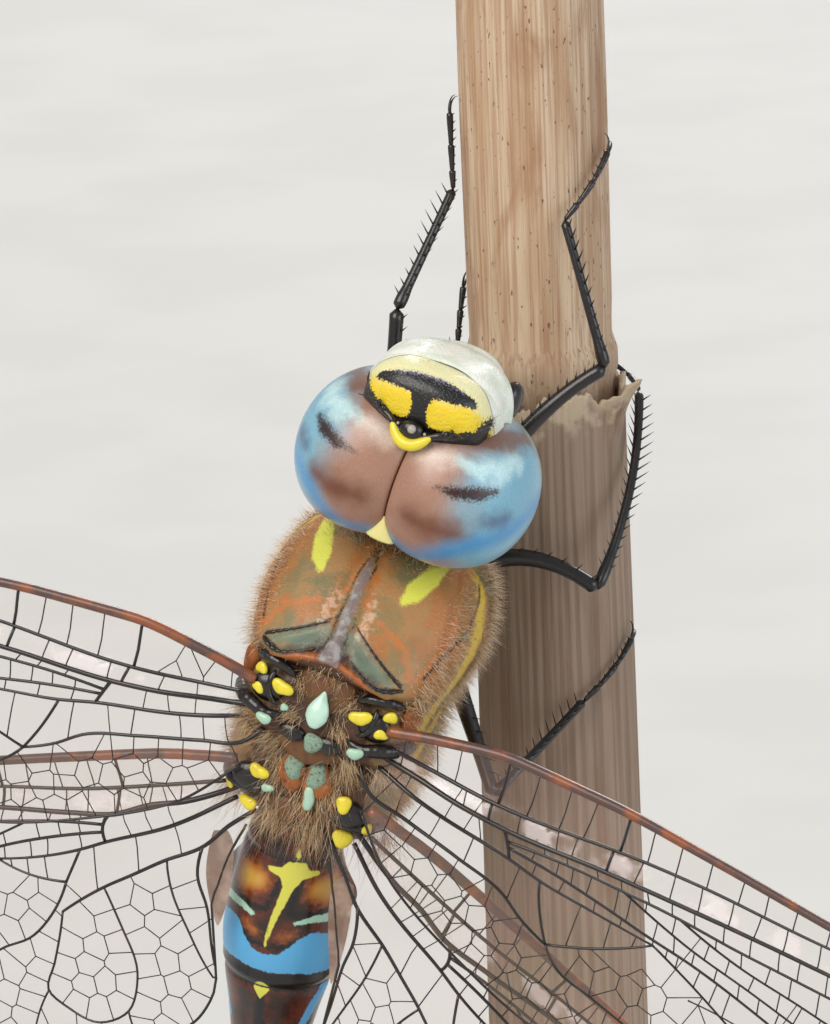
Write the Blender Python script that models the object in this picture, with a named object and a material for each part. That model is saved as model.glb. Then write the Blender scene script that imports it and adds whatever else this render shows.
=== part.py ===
"""Male migrant hawker dragonfly, life size, gripping a cut length of reed on a display stand.

Metres, +Z up. The floor is z = 0 and the origin is the centre of the stand's foot, which lies
under the reed's axis. Sizes below are in millimetres and become metres where a mesh is made.
The insect's own sizes are in its body frame: x to its right, y forward, z up from its back,
with the origin on the back, midway between the two forewings.
"""
from dataclasses import dataclass
from math import cos, hypot, pi, radians, sin, tau

import bpy
import bmesh
from mathutils import Matrix, Vector

MM = 0.001
CLEARANCE = 0.1

# Stand and perch
BASE_RADIUS, BASE_HEIGHT, BASE_EDGE = 28.0, 8.0, 1.2
ROD_RADIUS, ROD_SOCKET, ROD_FREE, ROD_IN_REED = 1.0, 4.0, 7.0, 8.0
REED_RADIUS, REED_TOP, REED_NODE = 2.55, 101.0, 79.3
REED_HOLLOW_RADIUS, REED_HOLLOW_DEPTH = 1.85, 12.0
SHEATH_LENGTH, SHEATH_FROM, SHEATH_TO = 54.0, -62.0, 200.0
SHEATH_WALL_TOP, SHEATH_WALL_FOOT = 0.25, 0.5

# Place and lean of the insect
BODY_ORIGIN = (-8.1, -10.5, 70.1)
BODY_LEAN, BODY_PITCH, BODY_ROLL = 18.0, 6.0, 17.0
HEAD_CENTRE = (0.3, 8.4, -2.6)
HEAD_PITCH, HEAD_ROLL, HEAD_TURN = 5.0, 2.0, -1.5

# Head, in its own frame: x right, y forward, z up
EYE_CENTRE, EYE_RADII = Vector((1.5, -0.15, 0.0)), Vector((2.8, 2.9, 3.2))
EYE_SEAM_GAP, EYE_BACK = 0.1, -2.35
FACE_RECESS = (Vector((0.0, 3.3, -0.4)), Vector((2.8, 2.1, 3.9)))
MOUTH_RECESS = (Vector((0.0, -0.1, -3.2)), Vector((1.7, 2.35, 1.9)))
OCCIPUT_RECESS = (Vector((0.0, -2.05, 2.35)), Vector((0.8, 1.15, 0.9)))

# Face parts: height, back, front and half width of each section, from the lower edge up
FRONS_SECTIONS = ((0.0, 1.9, 3.7, 2.2), (0.2, 1.6, 3.95, 2.4), (1.1, 1.45, 4.2, 2.48),
                  (1.9, 1.4, 4.2, 2.42), (2.3, 1.5, 3.9, 2.18), (2.48, 1.9, 3.4, 1.6))
CLYPEUS_SECTIONS = ((-1.95, 1.9, 3.6, 2.0), (-1.75, 1.6, 3.85, 2.2), (-1.3, 1.5, 3.95, 2.4),
                    (-1.15, 1.5, 4.1, 2.5), (-0.5, 1.5, 4.2, 2.58), (-0.1, 1.9, 3.85, 2.4))
LABRUM_SECTIONS = ((-3.3, 1.9, 3.0, 1.1), (-3.1, 1.7, 3.45, 1.5), (-2.6, 1.6, 3.75, 1.85),
                   (-2.2, 1.6, 3.75, 1.95), (-2.05, 1.9, 3.5, 1.8))

# Thorax: y, top, bottom, half width, height of the widest place, squareness of the back
THORAX_SECTIONS = (
    (5.2, -3.55, -6.3, 2.0, -5.0, 0.95),
    (4.85, -2.8, -6.9, 2.75, -4.9, 0.9),
    (3.9, -1.55, -7.7, 3.6, -4.5, 0.85),
    (2.4, -0.2, -8.1, 3.95, -4.0, 0.85),
    (1.2, 0.45, -8.2, 3.75, -3.7, 0.75),
    (0.5, -0.35, -8.2, 3.5, -3.5, 0.6),
    (-0.5, -0.25, -8.1, 3.3, -3.4, 0.5),
    (-1.6, -0.1, -7.95, 3.2, -3.4, 0.48),
    (-2.4, -0.9, -7.8, 3.2, -3.4, 0.48),
    (-3.5, -0.75, -7.4, 3.2, -3.4, 0.48),
    (-4.6, -1.05, -6.6, 2.9, -3.4, 0.55),
    (-5.3, -1.6, -5.7, 2.4, -3.4, 0.75),
    (-5.6, -2.1, -5.1, 1.85, -3.4, 0.95),
)
PROTHORAX_SECTIONS = (
    (5.6, -3.7, -5.5, 1.2, -4.6, 1.0),
    (5.32, -3.5, -6.1, 1.9, -4.8, 1.0),
)

# Abdomen: the length of each ring, and the outline as distance and half width
RING_LENGTHS = (1.2, 5.1, 6.4, 5.9, 5.6, 5.1, 4.7, 3.5, 2.6, 1.8)
ABDOMEN_START = (-0.3, -5.3, -2.95)
ABDOMEN_OUTLINE = ((0.0, 1.35), (1.2, 1.7), (3.0, 2.0), (4.8, 2.12), (6.3, 1.93), (8.0, 1.58),
                   (10.0, 1.3), (14.0, 1.25), (24.0, 1.38), (35.0, 1.42), (39.0, 1.3), (41.5, 0.95))
ABDOMEN_TURN = (6.0, 11.0)
ABDOMEN_DROP = (9.0, 4.0)
CERCUS_LENGTH, CERCUS_WIDTH, CERCUS_THICKNESS = 4.3, 1.05, 0.5
EPIPROCT_LENGTH, EPIPROCT_WIDTH = 2.2, 1.1

# Wings: root on the body, sweep back, dihedral, and the edges as span, lead and trail
WING_THICKNESS, WING_CORRUGATION = 0.5, 0.16
FOREWING_LENGTH, HINDWING_LENGTH = 40.0, 38.5
FOREWING_ROOT, FOREWING_SWEEP, FOREWING_DIHEDRAL = (2.5, -0.15, -0.4), 3.4, 3.0
HINDWING_ROOT, HINDWING_SWEEP, HINDWING_DIHEDRAL = (2.5, -3.6, -1.25), 22.5, -1.5
WING_TURN = -1.4
FOREWING_EDGES = ((0.0, -0.1, -3.4), (0.05, 0.42, -5.4), (0.12, 0.88, -6.8), (0.2, 0.86, -7.9),
                  (0.3, 0.56, -8.5), (0.42, 0.08, -8.9), (0.51, -0.25, -9.0), (0.7, -0.8, -9.1),
                  (0.86, -1.5, -8.3), (0.95, -2.6, -7.1), (1.0, -4.2, -5.5))
HINDWING_EDGES = ((0.0, 0.0, -2.4), (0.02, 0.1, -3.4), (0.036, 0.15, -4.6), (0.046, 0.18, -5.4),
                  (0.05, 0.2, -8.0), (0.06, 0.22, -8.9), (0.08, 0.25, -9.7), (0.16, 0.2, -11.0),
                  (0.3, 0.05, -11.7), (0.45, -0.1, -11.3), (0.65, -0.3, -10.3), (0.83, -0.8, -8.6),
                  (0.95, -1.9, -6.8), (1.0, -3.3, -5.0))
FOREWING_STATIONS = (0.0, 0.035, 0.06, 0.1, 0.16, 0.27, 0.4, 0.55, 0.7, 0.82, 0.91, 0.965, 1.0)
HINDWING_STATIONS = (0.0, 0.02, 0.036, 0.046, 0.05, 0.06, 0.08, 0.12, 0.18, 0.28, 0.4, 0.55, 0.7, 0.82,
                     0.91, 0.965, 1.0)

# The right hind wing's inner corner stands spread: outward shift for each millimetre behind
# the line, fading out along the span
CORNER_SPREAD = {1: 0.57, -1: 0.0}
CORNER_LINE, CORNER_REACH = -3.2, 6.0

# Legs: thickness at the hip, knee, ankle and toe
LEG_RADII = (0.55, 0.32, 0.27, 0.25)


@dataclass(frozen=True)
class Leg:
    """A leg: hip in the body frame, knee in the stand's frame, foot round the reed.

    The foot's places are an angle from the front of the reed, its height, and its distance
    from the reed's axis. arch and bow say how far the thigh and the shin curve off straight.
    """
    name: str
    hip: tuple
    knee: tuple
    ankle: tuple
    toe: tuple
    arch: tuple = (0.0, 0.25, 0.0)
    bow: tuple = (0.0, -0.1, 0.0)


LEGS = (
    Leg("fore_right", (1.1, 4.4, -6.3), (2.15, -4.2, 79.9), (18, 84.9, 3.0), (60, 87.0, 2.95),
        arch=(0.0, 0.2, 0.8)),
    Leg("fore_left", (-1.1, 4.4, -6.3), (-5.0, -3.0, 82.0), (-74, 85.7, 3.0), (-80, 88.4, 2.95)),
    Leg("mid_right", (1.8, 3.4, -7.3), (1.6, -4.8, 72.1), (96, 77.9, 3.45), (165, 79.1, 3.3),
        arch=(0.0, 0.2, 1.0), bow=(0.4, -0.2, 0.0)),
    Leg("mid_left", (-1.5, 2.8, -7.4), (-7.9, -0.9, 76.6), (-104, 79.8, 3.0), (-117, 81.7, 2.95)),
    Leg("hind_right", (1.8, 0.8, -7.6), (-2.3, -6.3, 65.2), (18, 67.6, 3.4), (60, 69.4, 3.3)),
    Leg("hind_left", (-1.8, 0.8, -7.6), (-8.2, -0.6, 66.0), (-98, 68.6, 3.05), (-92, 71.2, 2.95)),
)


# --- small tools ----------------------------------------------------------------------
def finish(name, colour, roughness, metallic=0.0):
    """A plain material of one colour."""
    made = bpy.data.materials.new(name)
    made.use_nodes = True
    shader = made.node_tree.nodes["Principled BSDF"]
    shader.inputs["Base Color"].default_value = (*colour, 1.0)
    shader.inputs["Roughness"].default_value = roughness
    shader.inputs["Metallic"].default_value = metallic
    return made


def frame(name, matrix, parent=None):
    """An empty that carries the pieces of one frame; its matrix is in its parent's frame."""
    empty = bpy.data.objects.new(name, None)
    bpy.context.collection.objects.link(empty)
    empty.parent = parent
    empty.matrix_basis = matrix
    return empty


def solid(name, points, faces, material, parent=None, sharp=40.0):
    """One closed object from points in millimetres, with its faces turned outwards."""
    mesh = bpy.data.meshes.new(name)
    mesh.from_pydata([Vector(point) * MM for point in points], [], faces)
    working = bmesh.new()
    working.from_mesh(mesh)
    bmesh.ops.recalc_face_normals(working, faces=working.faces)
    working.to_mesh(mesh)
    working.free()
    mesh.shade_smooth()
    mesh.set_sharp_from_angle(angle=radians(sharp))
    mesh.materials.append(material)
    made = bpy.data.objects.new(name, mesh)
    bpy.context.collection.objects.link(made)
    made.parent = parent
    return made


def loft(name, rings, material, parent=None):
    """A skin over closed rings of equal count, with flat ends."""
    count = len(rings[0])
    points = [point for ring in rings for point in ring]
    faces = [tuple(reversed(range(count))), tuple(range(len(points) - count, len(points)))]
    for row in range(len(rings) - 1):
        for column in range(count):
            after = (column + 1) % count
            faces.append((row * count + column, row * count + after,
                          (row + 1) * count + after, (row + 1) * count + column))
    return solid(name, points, faces, material, parent)


def blob(name, centre, radii, material, parent=None, squareness=1.0, columns=20, rows=10):
    """An ellipsoid; a squareness under 1 swells it towards a box with round edges."""
    def swell(value):
        return abs(value) ** squareness * (1.0 if value >= 0 else -1.0)

    points = [Vector((0, 0, radii[2])), Vector((0, 0, -radii[2]))]
    for row in range(1, rows):
        polar = pi * row / rows
        for column in range(columns):
            around = tau * column / columns
            points.append(Vector((radii[0] * swell(sin(polar)) * swell(cos(around)),
                                  radii[1] * swell(sin(polar)) * swell(sin(around)),
                                  radii[2] * swell(cos(polar)))))
    faces = []
    for column in range(columns):
        after = (column + 1) % columns
        faces.append((0, 2 + column, 2 + after))
        last = 2 + (rows - 2) * columns
        faces.append((1, last + after, last + column))
        for row in range(rows - 2):
            near, far = 2 + row * columns, 2 + (row + 1) * columns
            faces.append((near + column, far + column, far + after, near + after))
    return solid(name, [Vector(centre) + point for point in points], faces, material, parent)


def as_cutter(made):
    """Keeps an object out of the part: it only shapes its neighbours."""
    made.hide_render = True
    made.display_type = "WIRE"
    return made


def cut(made, cutter):
    """Takes the cutter's space out of an object."""
    modifier = made.modifiers.new("cut_" + cutter.name, "BOOLEAN")
    modifier.operation = "DIFFERENCE"
    modifier.solver = "EXACT"
    modifier.object = cutter


def slice_off(made, origin, outward):
    """Cuts an object flat: what lies on the outward side of the plane goes."""
    working = bmesh.new()
    working.from_mesh(made.data)
    everything = working.verts[:] + working.edges[:] + working.faces[:]
    cut_edges = bmesh.ops.bisect_plane(working, geom=everything, plane_co=Vector(origin) * MM,
                                       plane_no=outward, clear_outer=True)["geom_cut"]
    rim = [item for item in cut_edges if isinstance(item, bmesh.types.BMEdge)]
    bmesh.ops.edgeloop_fill(working, edges=rim)
    bmesh.ops.recalc_face_normals(working, faces=working.faces)
    working.to_mesh(made.data)
    working.free()


def smooth_value(table, place, column):
    """Reads a column of a table between its rows, on a smooth monotone curve."""
    rows = range(len(table) - 1)
    row = max(index for index in rows if index == 0 or place >= table[index][0])
    near, far = table[row], table[row + 1]
    reach = far[0] - near[0]
    share = min(max((place - near[0]) / reach, 0.0), 1.0)

    def slope(index):
        if index in (0, len(table) - 1):
            return None
        before, here, after = table[index - 1], table[index], table[index + 1]
        left = (here[column] - before[column]) / (here[0] - before[0])
        right = (after[column] - here[column]) / (after[0] - here[0])
        return 0.0 if left * right <= 0 else 2.0 * left * right / (left + right)

    rise = (far[column] - near[column]) / reach
    start, end = slope(row), slope(row + 1)
    start = rise if start is None else start
    end = rise if end is None else end
    first = near[column] * (1 + 2 * share) * (1 - share) ** 2 + start * reach * share * (1 - share) ** 2
    second = far[column] * share ** 2 * (3 - 2 * share) - end * reach * share ** 2 * (1 - share)
    return first + second


def tube(name, path, radii, material, parent=None, sides=7):
    """A round limb along a path, with a radius at each point and ends that draw in."""
    first, last = path[0], path[-1]
    path = [first, first.lerp(path[1], min(0.9, 0.5 * radii[0] / (path[1] - first).length))] + path[1:-1] + [
        last.lerp(path[-2], min(0.9, 0.5 * radii[-1] / (path[-2] - last).length)), last]
    radii = [0.6 * radii[0]] + list(radii) + [0.6 * radii[-1]]
    directions = [(after - before).normalized() for before, after in zip(path, path[1:])]
    tangents = [directions[0]]
    tangents += [(a + b).normalized() for a, b in zip(directions, directions[1:])]
    tangents.append(directions[-1])
    across = tangents[0].orthogonal().normalized()
    rings = []
    for point, tangent, radius in zip(path, tangents, radii):
        across = (across - tangent * across.dot(tangent)).normalized()
        beside = tangent.cross(across)
        rings.append([point + (across * cos(tau * side / sides) + beside * sin(tau * side / sides)) * radius
                      for side in range(sides)])
    return loft(name, rings, material, parent)


def bowed(start, end, bow, count):
    """Points from start to end on a shallow arc whose middle is moved by the bow."""
    shares = [step / (count - 1) for step in range(count)]
    return [start.lerp(end, share) + bow * (4 * share * (1 - share)) for share in shares]


# --- stand and perch ------------------------------------------------------------------
def turned(name, profile, material, sides=32):
    """A solid of revolution about z from a profile of radius and height, axis to axis."""
    rings = [[(radius * cos(tau * side / sides), radius * sin(tau * side / sides), height)
              for side in range(sides)] for radius, height in profile]
    return loft(name, rings, material)


def reed_wobble(height):
    """How far the reed's radius swells at a height: a low collar at the node."""
    return 0.22 * max(0.0, 1.0 - abs(height - REED_NODE) / 0.9)


def build_stand(wood, steel):
    """The flat base with its rod, which stands up into the reed's lower end."""
    socket_floor = BASE_HEIGHT - ROD_SOCKET
    hole = ROD_RADIUS + CLEARANCE
    turned("stand_base", (
        (BASE_RADIUS - BASE_EDGE, 0.0), (BASE_RADIUS, BASE_EDGE),
        (BASE_RADIUS, BASE_HEIGHT - BASE_EDGE), (BASE_RADIUS - BASE_EDGE, BASE_HEIGHT),
        (hole, BASE_HEIGHT), (hole, socket_floor)), wood, sides=40)
    rod_top = BASE_HEIGHT + ROD_FREE + ROD_IN_REED
    turned("stand_rod", ((ROD_RADIUS, socket_floor + CLEARANCE), (ROD_RADIUS, rod_top)), steel, sides=12)


def build_reed(straw):
    """The cut reed: bored below for the rod, hollow above, with a collar at its node."""
    bottom = BASE_HEIGHT + ROD_FREE
    hole = ROD_RADIUS + CLEARANCE
    hole_top = bottom + ROD_IN_REED + CLEARANCE
    heights = [bottom, REED_NODE - 0.9, REED_NODE, REED_NODE + 0.9, REED_TOP]
    outside = [(REED_RADIUS + reed_wobble(height), height) for height in heights]
    floor = REED_TOP - REED_HOLLOW_DEPTH
    profile = [(hole, hole_top), (hole, bottom)] + outside
    profile += [(REED_HOLLOW_RADIUS, REED_TOP), (REED_HOLLOW_RADIUS, floor)]
    turned("perch_reed", profile, straw, sides=24)


def build_sheath(husk):
    """The leaf sheath below the node: a shell round part of the reed with a torn, flared lip."""
    around, down = 16, 6
    points = []
    for face in (0, 1):
        for row in range(down + 1):
            share = row / down
            drop = SHEATH_LENGTH * share ** 2.2
            wall = SHEATH_WALL_TOP + (SHEATH_WALL_FOOT - SHEATH_WALL_TOP) * share ** 0.5
            for column in range(around + 1):
                angle = SHEATH_FROM + (SHEATH_TO - SHEATH_FROM) * column / around
                lip = 1.2 * max(0.0, 1.0 - abs(angle - 58.0) / 20.0) * max(0.0, 1.0 - row / 0.9)
                tear = 0.25 * sin(radians(angle * 5.0)) * (1.0 - share)
                radius = REED_RADIUS + CLEARANCE + 0.12 * (row == 0) + lip + face * wall
                points.append((radius * sin(radians(angle)), -radius * cos(radians(angle)),
                               REED_NODE - 0.95 - drop + tear * (row == 0) + 0.5 * lip))
    row_size, layer = around + 1, (around + 1) * (down + 1)
    faces = []
    for row in range(down):
        for column in range(around):
            corner = row * row_size + column
            patch = (corner, corner + 1, corner + row_size + 1, corner + row_size)
            faces.append(patch)
            faces.append(tuple(layer + index for index in reversed(patch)))
    rim = [column for column in range(around)]
    rim += [row * row_size + around for row in range(down)]
    rim += [down * row_size + column for column in range(around, 0, -1)]
    rim += [row * row_size for row in range(down, 0, -1)]
    for here, after in zip(rim, rim[1:] + rim[:1]):
        faces.append((here, after, layer + after, layer + here))
    solid("perch_sheath", points, faces, husk)


# --- trunk ----------------------------------------------------------------------------
def trunk_rings(sections, sides, grow=0.0):
    """Cross-sections of the trunk; growing them gives the space that neighbours keep clear."""
    rings = []
    for index, (y, top, bottom, half_width, widest, squareness) in enumerate(sections):
        ends = (1 if index == 0 else 0) - (1 if index == len(sections) - 1 else 0)
        ring = []
        for side in range(sides):
            angle = tau * side / sides
            across = abs(cos(angle)) ** squareness * (1 if cos(angle) >= 0 else -1)
            if sin(angle) >= 0:
                height = widest + (top - widest + grow) * sin(angle) ** squareness
            else:
                height = widest - (widest - bottom + grow) * abs(sin(angle))
            ring.append((across * (half_width + grow), y + ends * grow, height))
        rings.append(ring)
    return rings


def build_trunk(cuticle, body):
    """The thorax and the small first part of it behind the head."""
    loft("thorax", trunk_rings(THORAX_SECTIONS, 24), cuticle, body)
    loft("prothorax", trunk_rings(PROTHORAX_SECTIONS, 14), cuticle, body)
    return as_cutter(loft("thorax_clearance", trunk_rings(THORAX_SECTIONS, 24, CLEARANCE), cuticle, body))


def build_abdomen(cuticle, body, trunk_space):
    """Ten rings along a gently bent axis, the second with its side lobes, and the claspers."""
    place = Vector(ABDOMEN_START)
    travelled = 0.0
    total = sum(RING_LENGTHS)
    sides, steps = 14, 3

    def heading(distance):
        share = min(distance / total, 1.0)
        turn = radians(ABDOMEN_TURN[0] + (ABDOMEN_TURN[1] - ABDOMEN_TURN[0]) * share)
        drop = radians(ABDOMEN_DROP[0] + (ABDOMEN_DROP[1] - ABDOMEN_DROP[0]) * share)
        return Vector((sin(turn) * cos(drop), -cos(turn) * cos(drop), -sin(drop)))

    for number, length in enumerate(RING_LENGTHS, start=1):
        rings = []
        inner = length - CLEARANCE
        for step in range(steps + 1):
            distance = travelled + inner * step / steps
            along = heading(distance)
            right = along.cross(Vector((0, 0, 1))).normalized() * -1.0
            above = along.cross(right) * -1.0
            above = above if above.z > 0 else -above
            half = smooth_value(ABDOMEN_OUTLINE, distance, 1) + (0.05 if step == steps else 0.0)
            lobe = 0.25 if number == 2 and step == 1 else 0.0
            point = place + along * (inner * step / steps)
            ring = []
            for side in range(sides):
                angle = tau * side / sides
                wide = half + lobe * max(0.0, 1.0 - abs(sin(angle) + 0.25) * 2.5)
                ring.append(point + right * (wide * cos(angle)) + above * (0.94 * half * sin(angle)))
            rings.append(ring)
        made = loft(f"abdomen_{number:02d}", rings, cuticle, body)
        if number == 1:
            cut(made, trunk_space)
        place = place + heading(travelled + length / 2) * length
        travelled += length
    tail = heading(total)
    right = Vector((1, 0, 0)) - tail * tail.x
    right.normalize()
    above = right.cross(tail) * -1.0
    above = above if above.z > 0 else -above
    for side, name in ((1, "right"), (-1, "left")):
        build_clasper("cercus_" + name, place + right * (0.5 * side) + above * 0.42, tail, right * side,
                      above, CERCUS_LENGTH, CERCUS_WIDTH, cuticle, body)
    build_clasper("epiproct", place - above * 0.45, tail, right, above, EPIPROCT_LENGTH, EPIPROCT_WIDTH,
                  cuticle, body)


def build_clasper(name, root, along, outward, above, length, width, material, body):
    """A flat tail blade, narrow at its root, widest past its middle, with a blunt tip."""
    outline = ((0.0, 0.45), (0.3, 0.62), (0.65, 1.0), (0.9, 0.8), (1.0, 0.4))
    is_cercus = name.startswith("cercus")
    rings = []
    for share in (0.0, 0.3, 0.6, 0.85, 1.0):
        half = 0.5 * width * (smooth_value(outline, share, 1) if is_cercus else 1.0 - 0.6 * share)
        bend = 0.32 * sin(pi * share) if is_cercus else 0.0
        point = root + along * (CLEARANCE + length * share) + outward * bend
        ring = []
        for side in range(8):
            angle = tau * side / 8
            ring.append(point + outward * (half * cos(angle))
                        + above * (0.5 * CERCUS_THICKNESS * sin(angle)))
        rings.append(ring)
    loft(name, rings, material, body)


def build_face_part(name, sections, material, head):
    """A band across the face: flat behind, rounded at its sides and front."""
    sides = 20
    rings = []
    for height, back, front, half_width in sections:
        middle, reach = 0.5 * (back + front), 0.5 * (front - back)
        ring = []
        for side in range(sides):
            angle = tau * side / sides
            across = abs(cos(angle)) ** 0.7 * (1 if cos(angle) >= 0 else -1)
            along = abs(sin(angle)) ** 0.8 * (1 if sin(angle) >= 0 else -1)
            ring.append((half_width * across, middle + reach * along, height))
        rings.append(ring)
    loft(name, rings, material, head)


# --- head -----------------------------------------------------------------------------
def build_head(eye_finish, face_finish, dark, head):
    """Two wrap-round eyes that meet on a seam, the face between them and the parts behind."""
    recesses = [as_cutter(blob(name, *recess, dark, head, squareness, 20, 10))
                for name, recess, squareness in (("face_recess", FACE_RECESS, 0.5),
                                                 ("mouth_recess", MOUTH_RECESS, 0.8),
                                                 ("occiput_recess", OCCIPUT_RECESS, 1.0))]
    for side, name in ((1, "right"), (-1, "left")):
        centre = Vector((EYE_CENTRE.x * side, EYE_CENTRE.y, EYE_CENTRE.z))
        eye = blob("eye_" + name, centre, EYE_RADII, eye_finish, head, 0.96, 28, 14)
        slice_off(eye, (0.5 * EYE_SEAM_GAP * side, 0, 0), (-side, 0, 0))
        slice_off(eye, (0, EYE_BACK, 0), (0, -1, -0.12))
        for recess in recesses:
            cut(eye, recess)
    blob("head_capsule", (0, EYE_BACK - 0.36, -0.2), (2.95, 0.25, 1.45), dark, head, 0.85, 18, 8)
    blob("occiput", (0, -1.85, 2.12), (0.55, 0.7, 0.42), face_finish, head, 1.0, 14, 8)
    blob("vertex", (0, 1.2, 2.95), (0.7, 0.3, 0.3), face_finish, head, 0.9, 12, 6)
    for name, sections in (("frons", FRONS_SECTIONS), ("clypeus", CLYPEUS_SECTIONS),
                           ("labrum", LABRUM_SECTIONS)):
        build_face_part(name, sections, face_finish, head)
    blob("labium", (0, 0.1, -2.95), (1.45, 1.4, 0.45), face_finish, head, 0.8, 16, 6)
    for side, name in ((1, "right"), (-1, "left")):
        path = bowed(Vector((1.25 * side, 1.55, 3.05)), Vector((2.5 * side, 3.5, 3.5)),
                     Vector((0.25 * side, 0, 0.25)), 4)
        tube("antenna_" + name, path, (0.27, 0.26, 0.25, 0.25), dark, head, sides=6)


# --- wings ----------------------------------------------------------------------------
def build_wing(name, side, root, sweep, dihedral, length, edges, stations, spread, membrane, body):
    """A plate between a leading and a trailing edge, pleated lightly along its span.

    spread moves the inner corner outward, in millimetres for each one behind CORNER_LINE.
    """
    sweep, dihedral = radians(sweep + side * WING_TURN), radians(dihedral)
    outward = Vector((side * cos(sweep) * cos(dihedral), -sin(sweep) * cos(dihedral), sin(dihedral)))
    forward = Vector((side * sin(sweep), cos(sweep), 0.0))
    above = outward.cross(forward) * side
    origin = Vector((side * root[0], root[1], root[2]))
    lanes = (0.0, 0.15, 0.3, 0.5, 0.75, 1.0)
    points = []
    for face in (1, -1):
        for share in stations:
            lead = smooth_value(edges, share, 1)
            trail = smooth_value(edges, share, 2)
            fade = 1.0 - share
            for index, lane in enumerate(lanes):
                pleat = WING_CORRUGATION * fade * (1 if index % 2 == 0 else -1)
                thickness = WING_THICKNESS * 0.5 * (1.0 + 0.15 * (index == 0))
                chord = lead + (trail - lead) * lane
                shift = spread * max(0.0, CORNER_LINE - chord) * max(0.0, 1.0 - length * share / CORNER_REACH)
                points.append(origin + outward * (length * share + shift) + forward * chord
                              + above * (pleat + face * thickness))
    width, layer = len(lanes), len(lanes) * len(stations)
    faces = []
    for row in range(len(stations) - 1):
        for column in range(width - 1):
            corner = row * width + column
            patch = (corner, corner + 1, corner + width + 1, corner + width)
            faces.append(patch)
            faces.append(tuple(layer + index for index in reversed(patch)))
    rim = [column for column in range(width - 1)]
    rim += [row * width + width - 1 for row in range(len(stations) - 1)]
    rim += [layer - width + column for column in range(width - 1, 0, -1)]
    rim += [row * width for row in range(len(stations) - 1, 0, -1)]
    for here, after in zip(rim, rim[1:] + rim[:1]):
        faces.append((here, after, layer + after, layer + here))
    return solid(name, points, faces, membrane, body)


# --- legs -----------------------------------------------------------------------------
def on_reed(angle, height, radius):
    """A place beside the reed: angle from its front towards +X, in degrees."""
    return Vector((radius * sin(radians(angle)), -radius * cos(radians(angle)), height))


def build_leg(leg, body_matrix, chitin, thorax_space):
    """Thigh, shin and foot of one leg, with a thin gap at the knee and at the ankle."""
    hip = body_matrix @ (Vector(leg.hip) * MM) / MM
    knee = Vector(leg.knee)
    ankle = on_reed(*leg.ankle)
    thigh_end = knee + (hip - knee).normalized() * 0.05
    hip_radius, knee_radius, ankle_radius, toe_radius = LEG_RADII
    femur = tube("femur_" + leg.name, bowed(hip, thigh_end, Vector(leg.arch), 5),
                 (hip_radius, 0.5, 0.42, 0.36, knee_radius), chitin)
    cut(femur, thorax_space)
    shin = (ankle - knee).normalized()
    tube("tibia_" + leg.name, bowed(knee + shin * 0.33, ankle - shin * 0.05, Vector(leg.bow), 4),
         (0.29, 0.28, 0.27, ankle_radius), chitin)
    foot = []
    for step in range(4):
        share = step / 3
        place = [near + (far - near) * share for near, far in zip(leg.ankle, leg.toe)]
        foot.append(on_reed(*place))
    start = (foot[1] - foot[0]).normalized()
    foot[0] = foot[0] + start * 0.25
    tube("tarsus_" + leg.name, foot, (ankle_radius, 0.26, 0.25, toe_radius), chitin)


def main():
    """Builds the stand, the reed and the insect on it."""
    for leftover in list(bpy.data.objects):
        bpy.data.objects.remove(leftover, do_unlink=True)
    wood = finish("oiled_wood", (0.10, 0.055, 0.03), 0.45)
    steel = finish("brushed_steel", (0.45, 0.45, 0.46), 0.35, 1.0)
    straw = finish("dry_reed", (0.46, 0.33, 0.20), 0.7)
    husk = finish("dry_sheath", (0.52, 0.40, 0.26), 0.75)
    cuticle = finish("thorax_cuticle", (0.30, 0.15, 0.06), 0.45)
    banded = finish("abdomen_cuticle", (0.10, 0.22, 0.34), 0.35)
    eye_finish = finish("eye_facets", (0.28, 0.48, 0.66), 0.2)
    face_finish = finish("face_cuticle", (0.85, 0.72, 0.22), 0.4)
    dark = finish("black_cuticle", (0.02, 0.02, 0.02), 0.35)
    membrane = finish("wing_membrane", (0.62, 0.55, 0.45), 0.25)

    body_matrix = (Matrix.Translation(Vector(BODY_ORIGIN) * MM)
                   @ Matrix.Rotation(radians(BODY_LEAN), 4, "Y")
                   @ Matrix.Rotation(radians(90.0 + BODY_PITCH), 4, "X")
                   @ Matrix.Rotation(radians(-BODY_ROLL), 4, "Y"))
    body = frame("body_frame", body_matrix)
    head_matrix = (Matrix.Translation(Vector(HEAD_CENTRE) * MM)
                   @ Matrix.Rotation(radians(HEAD_TURN), 4, "Z")
                   @ Matrix.Rotation(radians(HEAD_PITCH), 4, "X")
                   @ Matrix.Rotation(radians(-HEAD_ROLL), 4, "Y"))
    head = frame("head_frame", head_matrix, body)

    build_stand(wood, steel)
    build_reed(straw)
    build_sheath(husk)
    thorax_space = build_trunk(cuticle, body)
    build_abdomen(banded, body, thorax_space)
    build_head(eye_finish, face_finish, dark, head)
    for side, name in ((1, "right"), (-1, "left")):
        for wing in (build_wing("forewing_" + name, side, FOREWING_ROOT, FOREWING_SWEEP, FOREWING_DIHEDRAL,
                                FOREWING_LENGTH, FOREWING_EDGES, FOREWING_STATIONS, 0.0, membrane, body),
                     build_wing("hindwing_" + name, side, HINDWING_ROOT, HINDWING_SWEEP, HINDWING_DIHEDRAL,
                                HINDWING_LENGTH, HINDWING_EDGES, HINDWING_STATIONS, CORNER_SPREAD[side],
                                membrane, body)):
            cut(wing, thorax_space)
    for leg in LEGS:
        build_leg(leg, body_matrix, dark, thorax_space)


main()
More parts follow.
